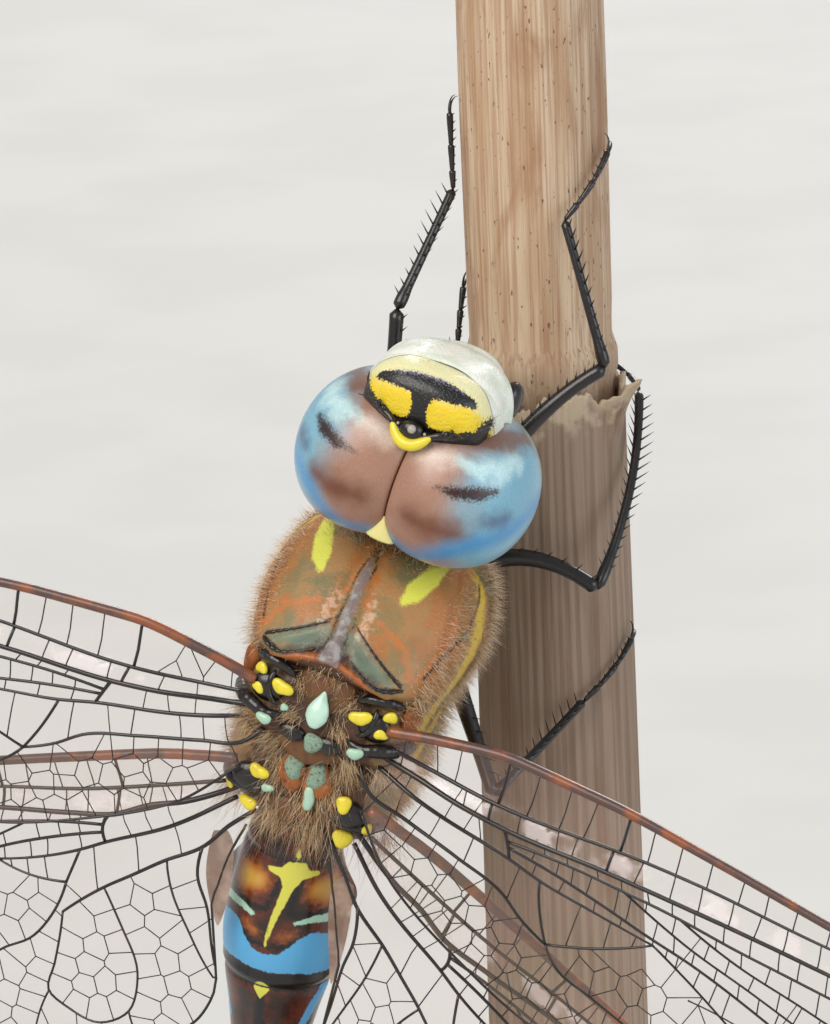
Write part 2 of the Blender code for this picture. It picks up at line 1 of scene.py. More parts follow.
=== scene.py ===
"""A male migrant hawker dragonfly, life size, gripping a cut length of reed on a display stand.

Lengths are in millimetres throughout and become metres where a mesh is made. The stand's frame
has its origin under the reed on the floor, with z up. The insect is worked out in its own body
frame: x to its right, y forward, z up from its back, with the origin between the forewings. The
head has a frame of its own inside that one.
"""

import logging
from collections.abc import Callable, Sequence
from dataclasses import dataclass, field
from enum import Enum
from typing import Any

import bpy
import numpy as np
from mathutils import Matrix, Vector
from mathutils.geometry import delaunay_2d_cdt


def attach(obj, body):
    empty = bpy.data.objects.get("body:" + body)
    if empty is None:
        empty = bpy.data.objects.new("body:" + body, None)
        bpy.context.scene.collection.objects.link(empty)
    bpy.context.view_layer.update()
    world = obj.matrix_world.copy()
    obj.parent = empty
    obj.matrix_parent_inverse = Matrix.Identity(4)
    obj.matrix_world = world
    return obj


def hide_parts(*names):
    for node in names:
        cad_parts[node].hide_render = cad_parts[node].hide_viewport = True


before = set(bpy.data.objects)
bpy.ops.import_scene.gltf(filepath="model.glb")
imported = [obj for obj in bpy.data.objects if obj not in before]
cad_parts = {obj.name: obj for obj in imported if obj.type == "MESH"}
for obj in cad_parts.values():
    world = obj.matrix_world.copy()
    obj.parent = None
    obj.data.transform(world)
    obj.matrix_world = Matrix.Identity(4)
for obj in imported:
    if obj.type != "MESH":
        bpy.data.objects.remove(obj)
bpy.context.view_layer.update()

Array = np.ndarray
Point = tuple[float, float, float]
Flat = tuple[float, float]
Rows = Sequence[Sequence[float]]
Socket = bpy.types.NodeSocket
Material = bpy.types.Material

MM = 0.001
TAU = 2.0 * np.pi
LOG = logging.getLogger("dragonfly")


class Side(Enum):
    """The insect's own right and left, as the sign of x."""
    RIGHT = 1
    LEFT = -1

    @property
    def word(self) -> str:
        """The side as it stands in node names."""
        return self.name.lower()


class Slot(Enum):
    """The record's material slots."""
    EYE = "eye"
    FACE = "face"
    HEAD_BACK = "head_back"
    THORAX = "thorax"
    ABDOMEN = "abdomen"
    WING = "wing"
    LEG = "leg"
    REED = "reed"
    SHEATH = "sheath"
    WOOD = "stand_wood"
    STEEL = "stand_steel"


# --- numbers ---------------------------------------------------------------------------
def turn_about(axis: int, degrees: float) -> Array:
    """The matrix of a turn about x, y or z (0, 1 or 2): the other two axes, in order, turn by the angle."""
    first, second = (axis + 1) % 3, (axis + 2) % 3
    matrix = np.eye(3)
    matrix[first, first] = matrix[second, second] = np.cos(np.radians(degrees))
    matrix[second, first] = np.sin(np.radians(degrees))
    matrix[first, second] = -matrix[second, first]
    return matrix


def unit(vectors: Array) -> Array:
    """Vectors scaled to length one, along the last axis."""
    return vectors / np.maximum(np.linalg.norm(vectors, axis=-1, keepdims=True), 1e-12)


def smooth_step(low: float, high: float, value: Array) -> Array:
    """0 below low, 1 above high, and 3t^2 - 2t^3 between them; the other way up where low is the larger."""
    t = np.clip((value - low) / (high - low), 0.0, 1.0)
    return t * t * (3.0 - 2.0 * t)


def bell(value: Array, centre: float, width: float) -> Array:
    """A smooth bump of height one: exp(-((value - centre) / width)^2)."""
    return np.exp(-(((value - centre) / width) ** 2))


def swell(value: Array, power: float | Array) -> Array:
    """|value|^power with the value's own sign; a power under one squares a circle off."""
    return np.sign(value) * np.abs(value) ** power


def ring_angles(count: int) -> Array:
    """Even angles round a circle."""
    return TAU * np.arange(count) / count


def hermite(ends: tuple[Array, Array], slopes: tuple[Array, Array], span: Array, t: Array) -> Array:
    """The cubic through two ends a span apart, with a slope at each, at a share t of the way."""
    start = ends[0] * (1 + 2 * t) * (1 - t) ** 2 + slopes[0] * span * t * (1 - t) ** 2
    end = ends[1] * t ** 2 * (3 - 2 * t) - slopes[1] * span * t ** 2 * (1 - t)
    return start + end


def curve_through(table: Rows, place: Array, column: int = 1) -> Array:
    """Reads a table's column at places in its first, rising column, on a smooth monotone curve.

    Between two rows the curve is the cubic with the rows' values and slopes, where a slope is
    the harmonic mean of its two neighbouring rises, or 0 where they differ in sign. Beyond the
    table's ends it keeps its first or last value.

    Args:
        table: the rows.
        place: where to read it.
        column: which entry of the rows to read.

    Returns:
        One value for each place.
    """
    rows = np.asarray(table, float)
    x, y = rows[:, 0], rows[:, column]
    steps = np.diff(x)
    rises = np.diff(y) / steps
    product = rises[:-1] * rises[1:]
    together = np.where(product > 0, rises[:-1] + rises[1:], 1.0)
    slopes = np.concatenate((rises[:1], np.where(product > 0, 2.0 * product / together, 0.0), rises[-1:]))
    place = np.clip(np.asarray(place, float), x[0], x[-1])
    row = np.clip(np.searchsorted(x, place, side="right") - 1, 0, len(steps) - 1)
    return hermite((y[row], y[row + 1]), (slopes[row], slopes[row + 1]), steps[row],
        (place - x[row]) / steps[row])


def running_length(points: Array) -> Array:
    """The distance along a line of points, from its first one."""
    return np.concatenate(([0.0], np.cumsum(np.linalg.norm(np.diff(points, axis=0), axis=1))))


def polyline(points: Rows, spacing: float) -> Array:
    """A smooth curve through a few points, resampled at roughly an even spacing.

    Each coordinate is a Catmull-Rom cubic of the running length; two points give a straight line.

    Args:
        points: the points, in any number of dimensions.
        spacing: the distance between the new points.

    Returns:
        The new points, ends included.
    """
    given = np.asarray(points, float)
    lengths = running_length(given)
    count = max(2, int(round(lengths[-1] / spacing)) + 1)
    place = np.linspace(0.0, lengths[-1], count)
    if len(given) == 2:
        return given[0] + (given[1] - given[0]) * (place / lengths[-1])[:, None]
    slopes = np.gradient(given, lengths, axis=0, edge_order=2)
    row = np.clip(np.searchsorted(lengths, place, side="right") - 1, 0, len(given) - 2)
    span = (lengths[row + 1] - lengths[row])[:, None]
    t = (place - lengths[row])[:, None] / span
    return hermite((given[row], given[row + 1]), (slopes[row], slopes[row + 1]), span, t)


def outside_stroke(places: Array, stroke: Rows) -> Array:
    """How far places lie outside a painted stroke: negative inside it, in millimetres.

    For each leg of the stroke it is the distance to the leg less the half width there, which
    changes evenly along the leg; the result is the least over the legs.

    Args:
        places: points, one row each, in two or three dimensions.
        stroke: the points of its middle line, each followed by the half width there.

    Returns:
        One distance for each place.
    """
    rows = np.asarray(stroke, float)
    least = np.full(len(places), 1e3)
    for (*near, start), (*far, end) in zip(rows, rows[1:]):
        leg = np.array(far) - near
        share = np.clip((places - near) @ leg / max(float(leg @ leg), 1e-9), 0.0, 1.0)
        gap = np.linalg.norm(places - near - share[:, None] * leg, axis=1)
        least = np.minimum(least, gap - (start + (end - start) * share))
    return least


def outside_all(places: Array, strokes: Sequence[Rows]) -> Array:
    """How far places lie outside the nearest of several strokes."""
    return np.minimum.reduce([outside_stroke(places, stroke) for stroke in strokes])


def both_sides(rows: Sequence[Sequence[Any]]) -> tuple:
    """Each row of a table followed by its mirror image, whose first entry changes sign."""
    return tuple(each for row in rows for each in (row, (-row[0], *row[1:])))


# --- meshes ----------------------------------------------------------------------------
@dataclass
class Shell:
    """Points and faces of a piece on its way to a mesh, with its marks and its map."""
    points: Array
    faces: list[Array]
    marks: dict[str, Array] = field(default_factory=dict)
    lay: Array | None = None

    @staticmethod
    def join(shells: Sequence["Shell"]) -> "Shell":
        """Several shells as one, without marks, and with a map if all have one."""
        starts = np.concatenate(([0], np.cumsum([len(shell.points) for shell in shells])[:-1]))
        faces = [each + start for shell, start in zip(shells, starts) for each in shell.faces]
        mapped = all(shell.lay is not None for shell in shells)
        lay = np.concatenate([shell.lay for shell in shells]) if mapped else None
        return Shell(np.concatenate([shell.points for shell in shells]), faces, {}, lay)


@dataclass(frozen=True)
class Placement:
    """Where a frame stands: its origin, and its axes as the columns of a matrix."""
    origin: Array
    axes: Array

    def place(self, points: Array) -> Array:
        """Points of this frame, in the stand's frame."""
        return np.asarray(points, float) @ self.axes.T + self.origin

    def carry(self, origin: Point, axes: Array) -> "Placement":
        """A frame that lies inside this one."""
        return Placement(self.place(np.array(origin)), self.axes @ axes)

    def carried(self, shell: Shell) -> Shell:
        """A shell of this frame, in the stand's frame."""
        return Shell(self.place(shell.points), shell.faces, shell.marks, shell.lay)


def grid_shell(points: Array, around: bool = False, caps: bool = False) -> Shell:
    """A surface from a grid of points.

    Args:
        points: an array of rows, columns and coordinates.
        around: whether the last column meets the first.
        caps: whether the first and last rows are closed by a fan to their middles.

    Returns:
        The shell, with its lay: row and column as shares of the whole.
    """
    rows, columns = points.shape[:2]
    index = np.arange(rows * columns).reshape(rows, columns)
    if around:
        index = np.concatenate((index, index[:, :1]), axis=1)
    quads = np.stack((index[:-1, :-1], index[:-1, 1:], index[1:, 1:], index[1:, :-1]), axis=-1)
    faces = [quads.reshape(-1, 4)]
    flat = points.reshape(-1, 3)
    along, across = np.meshgrid(np.linspace(0, 1, rows), np.linspace(0, 1, columns), indexing="ij")
    lay = np.stack((across.ravel(), along.ravel()), axis=1)
    if caps:
        flat = np.concatenate((flat, points[:1].mean(axis=1), points[-1:].mean(axis=1)))
        lay = np.concatenate((lay, [[0.5, 0.0], [0.5, 1.0]]))
        first, last = index[0], index[-1]
        hub = np.full(len(first) - 1, rows * columns)
        faces.append(np.stack((hub, first[1:], first[:-1]), axis=1))
        faces.append(np.stack((hub + 1, last[:-1], last[1:]), axis=1))
    return Shell(flat, faces, {}, lay)


def tube_shell(paths: Array, radii: Array, above: Array, sides: int, flatness: float = 1.0) -> Shell:
    """Many tubes of the same number of rings at once, closed at both ends.

    A ring's point is the path's point + radius * (cos a * beside + flatness * sin a * over),
    with beside = tangent x above and over = beside x tangent.

    Args:
        paths: tubes, rings and coordinates.
        radii: a radius for each ring of each tube.
        above: a direction that no tube runs along, one for all or one for each ring.
        sides: how many corners a ring has.
        flatness: height of a ring over its width.

    Returns:
        All the tubes as one shell.
    """
    tangents = unit(np.gradient(paths, axis=1))
    beside = unit(np.cross(tangents, np.broadcast_to(above, tangents.shape)))
    over = np.cross(beside, tangents)
    angles = ring_angles(sides)[:, None]
    ring = np.cos(angles) * beside[..., None, :] + flatness * np.sin(angles) * over[..., None, :]
    points = paths[..., None, :] + radii[..., None, None] * ring
    tubes, rings = paths.shape[:2]
    index = np.arange(tubes * rings * sides).reshape(tubes, rings, sides)
    after = np.roll(index, -1, axis=2)
    quads = np.stack((index[:, :-1], index[:, 1:], after[:, 1:], after[:, :-1]), axis=-1)
    return Shell(points.reshape(-1, 3), [quads.reshape(-1, 4), index[:, 0], index[:, -1, ::-1]])


def one_tube(path: Array, radii: Array, above: Point, sides: int, flatness: float = 1.0) -> Shell:
    """A single tube along a path."""
    return tube_shell(path[None], radii[None], np.array(above), sides, flatness)


def blob_shell(centre: Point, radii: Point, rows: int = 14, columns: int = 20,
               squareness: float = 1.0) -> Shell:
    """An ellipsoid, or with a squareness under 1 a pebble: each sine and cosine to that power."""
    polar = np.linspace(0.0, np.pi, rows + 1)[1:-1, None]
    around = ring_angles(columns)[None, :]
    x = swell(np.sin(polar), squareness) * swell(np.cos(around), squareness)
    y = swell(np.sin(polar), squareness) * swell(np.sin(around), squareness)
    z = swell(np.cos(polar), squareness) * np.ones_like(around)
    grid = np.stack((x, y, z), axis=-1) * np.array(radii) + np.array(centre)
    shell = grid_shell(grid[:, ::-1], around=True, caps=True)
    shell.points[-2:] = np.array(centre) + np.array([[0, 0, 1], [0, 0, -1]]) * radii[2]
    return shell


def add_object(name: str, mesh: bpy.types.Mesh, material: Material) -> bpy.types.Object:
    """Puts a mesh into the scene as an object of one material."""
    mesh.materials.append(material)
    thing = bpy.data.objects.new(name, mesh)
    bpy.context.scene.collection.objects.link(thing)
    return thing


def add_piece(name: str, shell: Shell, finish: "Finish", replaces: Sequence[str] = (),
              uv_name: str = "lay") -> None:
    """Makes the object of a shell, dresses it and lets it ride on the part.

    Args:
        name: the piece's name.
        shell: its points and faces in the stand's frame.
        finish: what it is made of.
        replaces: the CAD nodes that it stands for.
        uv_name: the name of its map, where the shell has a lay.
    """
    mesh = bpy.data.meshes.new(name)
    mesh.vertices.add(len(shell.points))
    mesh.vertices.foreach_set("co", (shell.points * MM).astype(np.float32).ravel())
    sizes = np.concatenate([np.full(len(each), each.shape[1]) for each in shell.faces])
    corners = np.concatenate([each.ravel() for each in shell.faces]).astype(np.int32)
    starts = np.concatenate(([0], np.cumsum(sizes)[:-1])).astype(np.int32)
    mesh.loops.add(len(corners))
    mesh.loops.foreach_set("vertex_index", corners)
    mesh.polygons.add(len(sizes))
    mesh.polygons.foreach_set("loop_start", starts)
    mesh.polygons.foreach_set("use_smooth", np.ones(len(sizes), bool))
    mesh.update(calc_edges=True)
    if shell.lay is not None:
        layer = mesh.uv_layers.new(name=uv_name)
        layer.data.foreach_set("uv", shell.lay[corners].astype(np.float32).ravel())
    for mark, values in shell.marks.items():
        mesh.attributes.new(mark, "FLOAT", "POINT").data.foreach_set("value", values.astype(np.float32))
    mesh.validate()
    piece = add_object(name, mesh, finish.material())
    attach(piece, "root")
    if replaces:
        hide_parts(*replaces)
    LOG.info("%s: %d triangles", name, int(np.sum(sizes - 2)))


# --- finishes --------------------------------------------------------------------------
def linear(colour: str) -> tuple[float, float, float, float]:
    """An sRGB hex colour as linear light: ((c + 0.055) / 1.055)^2.4, or c / 12.92 when dark."""
    parts = [int(colour[at:at + 2], 16) / 255.0 for at in (1, 3, 5)]
    bright = [c / 12.92 if c <= 0.04045 else ((c + 0.055) / 1.055) ** 2.4 for c in parts]
    return bright[0], bright[1], bright[2], 1.0


class Recipe:
    """A material being made: its tree, its shader, and the steps that several finishes share."""

    def __init__(self, name: str) -> None:
        """Starts a material with nothing but a shader and an output."""
        self.material = bpy.data.materials.new(name)
        self.material.use_nodes = True
        self.tree = self.material.node_tree
        self.where = self.node("ShaderNodeTexCoord").outputs["Object"]

    def fill(self, node: bpy.types.Node, values: dict[Any, Any]) -> bpy.types.Node:
        """Gives inputs of a node, by name or number, a value or another node's output."""
        for key, value in values.items():
            if isinstance(value, Socket):
                self.tree.links.new(value, node.inputs[key])
            else:
                node.inputs[key].default_value = value
        return node

    def node(self, kind: str, values: dict[Any, Any] | None = None, **settings: Any) -> bpy.types.Node:
        """Adds one node of Blender's kind, with values for its inputs and its own settings."""
        made = self.tree.nodes.new(kind)
        for name, value in settings.items():
            setattr(made, name, value)
        return self.fill(made, values or {})

    def grain(self, size: float, detail: float = 2.0, stretch: Point = (1.0, 1.0, 1.0),
              distortion: float = 0.0) -> Socket:
        """Noise from 0 to 1 whose grains are about size millimetres, times stretch along each axis."""
        scale = tuple(1.0 / (size * MM * each) for each in stretch)
        spread = self.node("ShaderNodeMapping", {"Vector": self.where, "Scale": scale})
        return self.node("ShaderNodeTexNoise", {"Vector": spread.outputs[0], "Scale": 1.0, "Detail": detail,
            "Distortion": distortion}).outputs[0]

    def level(self, value: Any, low: float, high: float, to_low: float = 0.0, to_high: float = 1.0) -> Socket:
        """A value eased from one range to another and held at its ends."""
        return self.node("ShaderNodeMapRange", {0: value, 1: low, 2: high, 3: to_low, 4: to_high},
            interpolation_type="SMOOTHSTEP").outputs[0]

    def maths(self, operation: str, *values: Any) -> Socket:
        """One sum of one, two or three values."""
        return self.node("ShaderNodeMath", dict(enumerate(values)), operation=operation).outputs[0]

    def blend(self, share: Any, under: Any, over: Any, strength: float = 1.0) -> Socket:
        """One colour laid over another by a share times a strength; each is a hex colour or an output."""
        if strength != 1.0:
            share = self.maths("MULTIPLY", share, strength)
        colours = [linear(each) if isinstance(each, str) else each for each in (under, over)]
        return self.node("ShaderNodeMix", {0: share, 6: colours[0], 7: colours[1]},
            data_type="RGBA").outputs[2]

    def mark(self, name: str) -> Socket:
        """A value that the mesh carries at its points."""
        return self.node("ShaderNodeAttribute", attribute_name=name).outputs["Fac"]

    def painted(self, name: str, soft: float, ragged: float = 0.0, grain: float = 0.2) -> Socket:
        """1 inside a marking and 0 outside, from its distance in millimetres.

        Args:
            name: the mark that holds the distance, negative inside.
            soft: the width over which the edge fades.
            ragged: how far noise pushes the edge about.
            grain: the size of that noise.

        Returns:
            The share of paint.
        """
        reach = self.mark(name)
        if ragged:
            reach = self.maths("ADD", reach, self.level(self.grain(grain, 3.0), 0.3, 0.7, -ragged, ragged))
        return self.level(reach, -0.5 * soft, 0.5 * soft, 1.0, 0.0)

    def coats(self, skin: Any, *coats: tuple[str, str, float, float, float, float]) -> Socket:
        """Lays coats of paint over a skin, each by mark, colour, softness, raggedness, grain, strength."""
        for name, colour, soft, ragged, grain, strength in coats:
            skin = self.blend(self.painted(name, soft, ragged, grain), skin, colour, strength)
        return skin

    def relief(self, height: Any, depth: float, before: Any = None) -> Socket:
        """A bump of a depth in millimetres; before is a bump that it lies on."""
        values = {"Height": height, "Distance": depth * MM, "Strength": 1.0}
        return self.node("ShaderNodeBump", values | ({} if before is None else {"Normal": before})).outputs[0]

    def surface(self, colour: Any, roughness: Any, normal: Socket | None, **fixed: Any) -> Material:
        """Gives the shader its colour, roughness and bump, and values for its other sockets."""
        values = {"Base Color": linear(colour) if isinstance(colour, str) else colour, "Roughness": roughness}
        if normal is not None:
            values["Normal"] = normal
        values.update({name.replace("_", " "): value for name, value in fixed.items()})
        self.fill(self.tree.nodes["Principled BSDF"], values)
        return self.material


class Finish:
    """What a piece is made of. A kind of finish says in build how its material is made."""
    _made: dict["Finish", Material] = {}

    def build(self) -> Material:
        """Makes the material."""
        raise NotImplementedError

    def material(self) -> Material:
        """The finish's material, made once and shared by its pieces."""
        if self not in Finish._made:
            Finish._made[self] = self.build()
        return Finish._made[self]


@dataclass(frozen=True)
class Clouded(Finish):
    """A dull or waxy skin of one colour with soft clouds of another, over a fine leathery bump.

    The cloud is the noise's size and detail, the levels where it begins and ends, and its strength;
    the bump is the leather's size, detail and depth.
    """
    title: str
    colour: str
    clouds: str
    cloud: tuple[float, ...]
    rough: float
    bump: Point
    coat: float = 0.0
    coat_rough: float = 0.15
    alpha: float = 1.0

    def build(self) -> Material:
        """One colour laid over the other by noise, then the gloss of the outermost layer."""
        recipe = Recipe(self.title)
        size, detail, low, high, share = self.cloud
        clouds = recipe.level(recipe.grain(size, detail), low, high, 0.0, share)
        return recipe.surface(recipe.blend(clouds, self.colour, self.clouds), self.rough,
                              recipe.relief(recipe.grain(*self.bump[:2]), self.bump[2]),
                              Coat_Weight=self.coat, Coat_Roughness=self.coat_rough, Alpha=self.alpha)


def plate(title: str, colour: str, blot: str, rough: float = 0.32, coat: float = 0.3,
          size: float = 0.5, blotted: float = 0.45) -> Clouded:
    """The finish of a small chitin plate: even enamel-like colour that darkens in blots."""
    return Clouded(title, colour, blot, (size, 3.0, 0.45, 0.8, blotted), rough, (0.06, 2.0, 0.008), coat)


# Matt painted board: pale, with a trace of roller texture.
PAINTED_BOARD = Clouded(
    "painted_board", "#CCCBC7", "#C8C7C3", (19.2, 2.0, 0.35, 0.65, 1.0), 0.8, (1.6, 3.0, 0.01))
# Hard black chitin: a brown-black body colour under a wet-looking surface layer.
BLACK_CHITIN = Clouded("black_chitin", "#141211", "#3B1E12", (0.35, 3.0, 0.5, 0.75, 0.25), 0.28,
                       (0.05, 2.0, 0.008), 0.3, 0.12)
# Vein tubes: black-brown chitin, glossy on top.
VEIN_CHITIN = Clouded(
    "vein_chitin", "#1A1412", "#4A2C1A", (1.2, 2.0, 0.5, 0.75, 0.5), 0.3, (0.06, 2.0, 0.004), 0.3)
# The wing's leading edge: orange-brown blotched with lilac grey.
COSTA_CHITIN = Clouded("costa_chitin", "#8C4E2C", "#563E38", (0.9, 3.0, 0.36, 0.56, 1.0), 0.35,
                       (0.08, 2.0, 0.006), 0.25, 0.2)
# The opaque brown flap beside the hind wing's hinge, mottled like felt.
MEMBRANULE = Clouded("membranule", "#7A6050", "#A68E7E", (0.9, 3.0, 0.35, 0.7, 1.0), 0.55, (0.08, 2.0, 0.012),
                     alpha=0.93)
# The thick cell near the wing's tip: opaque yellow-brown with a leathery grain.
STIGMA = Clouded("wing_stigma", "#8A5A30", "#4E2E18", (0.6, 3.0, 0.4, 0.7, 1.0), 0.4, (0.1, 2.0, 0.01))
YELLOW_PLATE = plate("yellow_plate", "#E8D636", "#B08A1A")
MINT_PLATE = plate("mint_plate", "#A8CDB4", "#6E9078")
# The ocelli: lenses coloured pale grey, which is a painted highlight on them.
OCELLUS_GLASS = plate("ocellus_lens", "#A8A49C", "#6A6660")


@dataclass(frozen=True)
class OiledWalnut(Finish):
    """Turned walnut, oiled: rings show as long dark bands, with open pores along the grain."""
    light: str = "#6C4529"
    dark: str = "#44281A"
    ring: float = 3.2
    pore: float = 0.25

    def build(self) -> Material:
        """Bands across x bent by noise, short dark pores, and a low bump from both."""
        recipe = Recipe("oiled_walnut")
        bend = recipe.maths("MULTIPLY", recipe.grain(14.0, 3.0, (1.0, 4.0, 1.0)), 5.0)
        across = recipe.node("ShaderNodeSeparateXYZ", {0: recipe.where}).outputs[0]
        bands = recipe.maths("SINE", recipe.maths("MULTIPLY_ADD", across, TAU / (self.ring * MM), bend))
        pores = recipe.level(recipe.grain(self.pore, 2.0, (1.0, 16.0, 1.0)), 0.36, 0.5)
        wood = recipe.blend(recipe.level(bands, -1.0, 1.0), self.dark, self.light)
        return recipe.surface(recipe.blend(pores, self.dark, wood), recipe.level(pores, 0.0, 1.0, 0.6, 0.34),
                              recipe.relief(pores, 0.02), Coat_Weight=0.15, Coat_Roughness=0.3)


@dataclass(frozen=True)
class TurnedSteel(Finish):
    """Stainless rod off the lathe: fine rings round it break up the highlight."""
    colour: str = "#B9BABC"
    ring: float = 0.08

    def build(self) -> Material:
        """Metal with a roughness and bump that change quickly along z."""
        recipe = Recipe("turned_steel")
        rings = recipe.grain(self.ring, 2.0, (60.0, 60.0, 1.0))
        return recipe.surface(self.colour, recipe.level(rings, 0.3, 0.7, 0.22, 0.4),
                              recipe.relief(rings, 0.004), Metallic=1.0)


@dataclass(frozen=True)
class DryReed(Finish):
    """A winter reed stem: straw skin over lengthwise fibres, bleached in places and flecked with
    dark mould, and greyer where a leaf sheath kept it damp."""
    grey_below: float
    straw: str = "#B89A7C"
    warm: str = "#96694A"
    bleached: str = "#CDB79C"
    grey: str = "#857767"
    fleck: str = "#4A382C"
    fibre: float = 0.11

    def build(self) -> Material:
        """Long streaks of three straws, warm stains, short dark flecks and a ribbed bump."""
        recipe = Recipe("dry_reed")
        fibres = recipe.grain(self.fibre, 3.0, (1.0, 1.0, 60.0))
        broad = recipe.grain(0.6, 3.0, (1.0, 1.0, 14.0), 0.4)
        stains = recipe.level(recipe.grain(1.6, 4.0, (1.0, 1.0, 3.0), 0.8), 0.52, 0.72)
        flecks = recipe.level(recipe.grain(0.13, 3.0, (1.0, 1.0, 2.5)), 0.66, 0.74)
        skin = recipe.blend(recipe.level(broad, 0.35, 0.65), self.straw, self.bleached)
        skin = recipe.blend(recipe.level(fibres, 0.4, 0.66), skin, self.warm, 0.55)
        skin = recipe.blend(stains, skin, self.warm, 0.6)
        height = recipe.node("ShaderNodeSeparateXYZ", {0: recipe.where}).outputs[2]
        damp = recipe.level(height, (self.grey_below + 1.5) * MM, (self.grey_below - 1.5) * MM)
        skin = recipe.blend(damp, skin, self.grey, 0.6)
        skin = recipe.blend(flecks, skin, self.fleck, 0.75)
        bump = recipe.relief(flecks, -0.03, recipe.relief(fibres, 0.05))
        return recipe.surface(skin, 0.62, bump, Specular_IOR_Level=0.3)


@dataclass(frozen=True)
class DryHusk(Finish):
    """An old leaf sheath: papery, ribbed by its veins and bleached to cream along its torn lip."""
    body: str = "#A08B78"
    rib: str = "#8A7665"
    lip: str = "#C9B79C"
    stain: str = "#7E583C"
    rib_spacing: float = 0.22

    def build(self) -> Material:
        """Ribs and streaks along the sheath, a cream edge from the lip mark, and rusty stains."""
        recipe = Recipe("dry_husk")
        ribs = recipe.grain(self.rib_spacing, 2.0, (1.0, 1.0, 90.0))
        streaks = recipe.grain(0.7, 4.0, (1.0, 1.0, 9.0), 0.5)
        skin = recipe.blend(recipe.level(ribs, 0.35, 0.65), self.rib, self.body)
        skin = recipe.blend(recipe.level(streaks, 0.5, 0.75), skin, self.stain, 0.5)
        skin = recipe.coats(skin, ("lip", self.lip, 1.0, 0.5, 0.5, 0.7))
        return recipe.surface(skin, 0.72, recipe.relief(ribs, 0.05, recipe.relief(streaks, 0.08)),
                              Specular_IOR_Level=0.25)


@dataclass(frozen=True)
class BodyHair(Finish):
    """Fine dry hair: pale straw with browner strands, catching light along its length."""
    straw: str = "#EAD9BA"
    brown: str = "#C48C50"

    def build(self) -> Material:
        """Two colours from strand to strand, with a silky sheen."""
        recipe = Recipe("body_hair")
        strand = recipe.level(recipe.mark("strand"), 0.2, 0.9)
        return recipe.surface(recipe.blend(strand, self.straw, self.brown), 0.5, None,
                              Sheen_Weight=0.3, Sheen_Roughness=0.4)


def hair_shell(roots: Array, directions: Array, lengths: Array, widths: Array, bends: Array,
               lay: Array, strand: Array) -> Shell:
    """Curved three-sided hairs that taper to a point, ten triangles each.

    Each has a ring at its root, one at 0.45 of its length and a tip; the bend moves the middle
    by a quarter and the tip by all of itself.

    Args:
        roots: where the hairs start.
        directions: which way they leave.
        lengths: their lengths.
        widths: their radii at the root.
        bends: how far each tip is carried sideways.
        lay: each root's place on the skin's map.
        strand: a number from 0 to 1 for each hair's colour.

    Returns:
        The hairs as one shell, each on a small patch of the map.
    """
    middle = roots + directions * (0.45 * lengths)[:, None] + 0.25 * bends
    tip = roots + directions * lengths[:, None] + bends
    aside = unit(np.cross(directions, np.array([0.31, 0.57, 0.76])))
    angles = ring_angles(3)[None, :, None]
    ring = np.cos(angles) * aside[:, None] + np.sin(angles) * np.cross(directions, aside)[:, None]
    low = roots[:, None] + widths[:, None, None] * ring
    high = middle[:, None] + 0.7 * widths[:, None, None] * ring
    points = np.concatenate((low, high, tip[:, None]), axis=1).reshape(-1, 3)
    start = 7 * np.arange(len(roots))[:, None]
    sides = [start + np.array([[a, (a + 1) % 3, 3 + (a + 1) % 3, 3 + a]]) for a in range(3)]
    tips = [start + np.array([[3 + a, 3 + (a + 1) % 3, 6]]) for a in range(3)]
    foot = start + np.array([[2, 1, 0]])
    patch = 0.0015 * np.array([[-1, -1], [1, -1], [0, 1], [-1, -0.2], [1, -0.2], [0, 1], [0, 0.4]])
    spread = (lay[:, None] + patch[None]).reshape(-1, 2)
    return Shell(points, sides + tips + [foot], {"strand": np.repeat(strand, 7)},
        np.clip(spread, 0.001, 0.999))


def scatter(shell: Shell, count: int, wanted: Callable[[Array], Array],
        seed: int) -> tuple[Array, Array, Array]:
    """Random places over a shell's first faces, even by area.

    Args:
        shell: the skin.
        count: how many places to try.
        wanted: gives the chance of keeping each place.
        seed: starts the random numbers.

    Returns:
        The places, the skin's outward directions there, and the places on its map.
    """
    chance = np.random.default_rng(seed)
    quads = shell.faces[0]
    corners = shell.points[quads]
    across = np.cross(corners[:, 2] - corners[:, 0], corners[:, 3] - corners[:, 1])
    area = np.linalg.norm(across, axis=1)
    pick = chance.choice(len(quads), count, p=area / area.sum())
    u, v = chance.random((2, count, 1))
    corner_shares = np.stack(((1 - u) * (1 - v), u * (1 - v), u * v, (1 - u) * v), axis=1)
    places = (corners[pick] * corner_shares).sum(axis=1)
    lay = (shell.lay[quads[pick]] * corner_shares).sum(axis=1)
    keep = chance.random(count) < wanted(places)
    return places[keep], unit(across[pick])[keep], lay[keep]


# --- studio ----------------------------------------------------------------------------
@dataclass(frozen=True)
class Lamp:
    """A soft box: where it stands, in millimetres, its size, its power in watts and its tint."""
    name: str
    place: Point
    size: float
    power: float
    tint: str


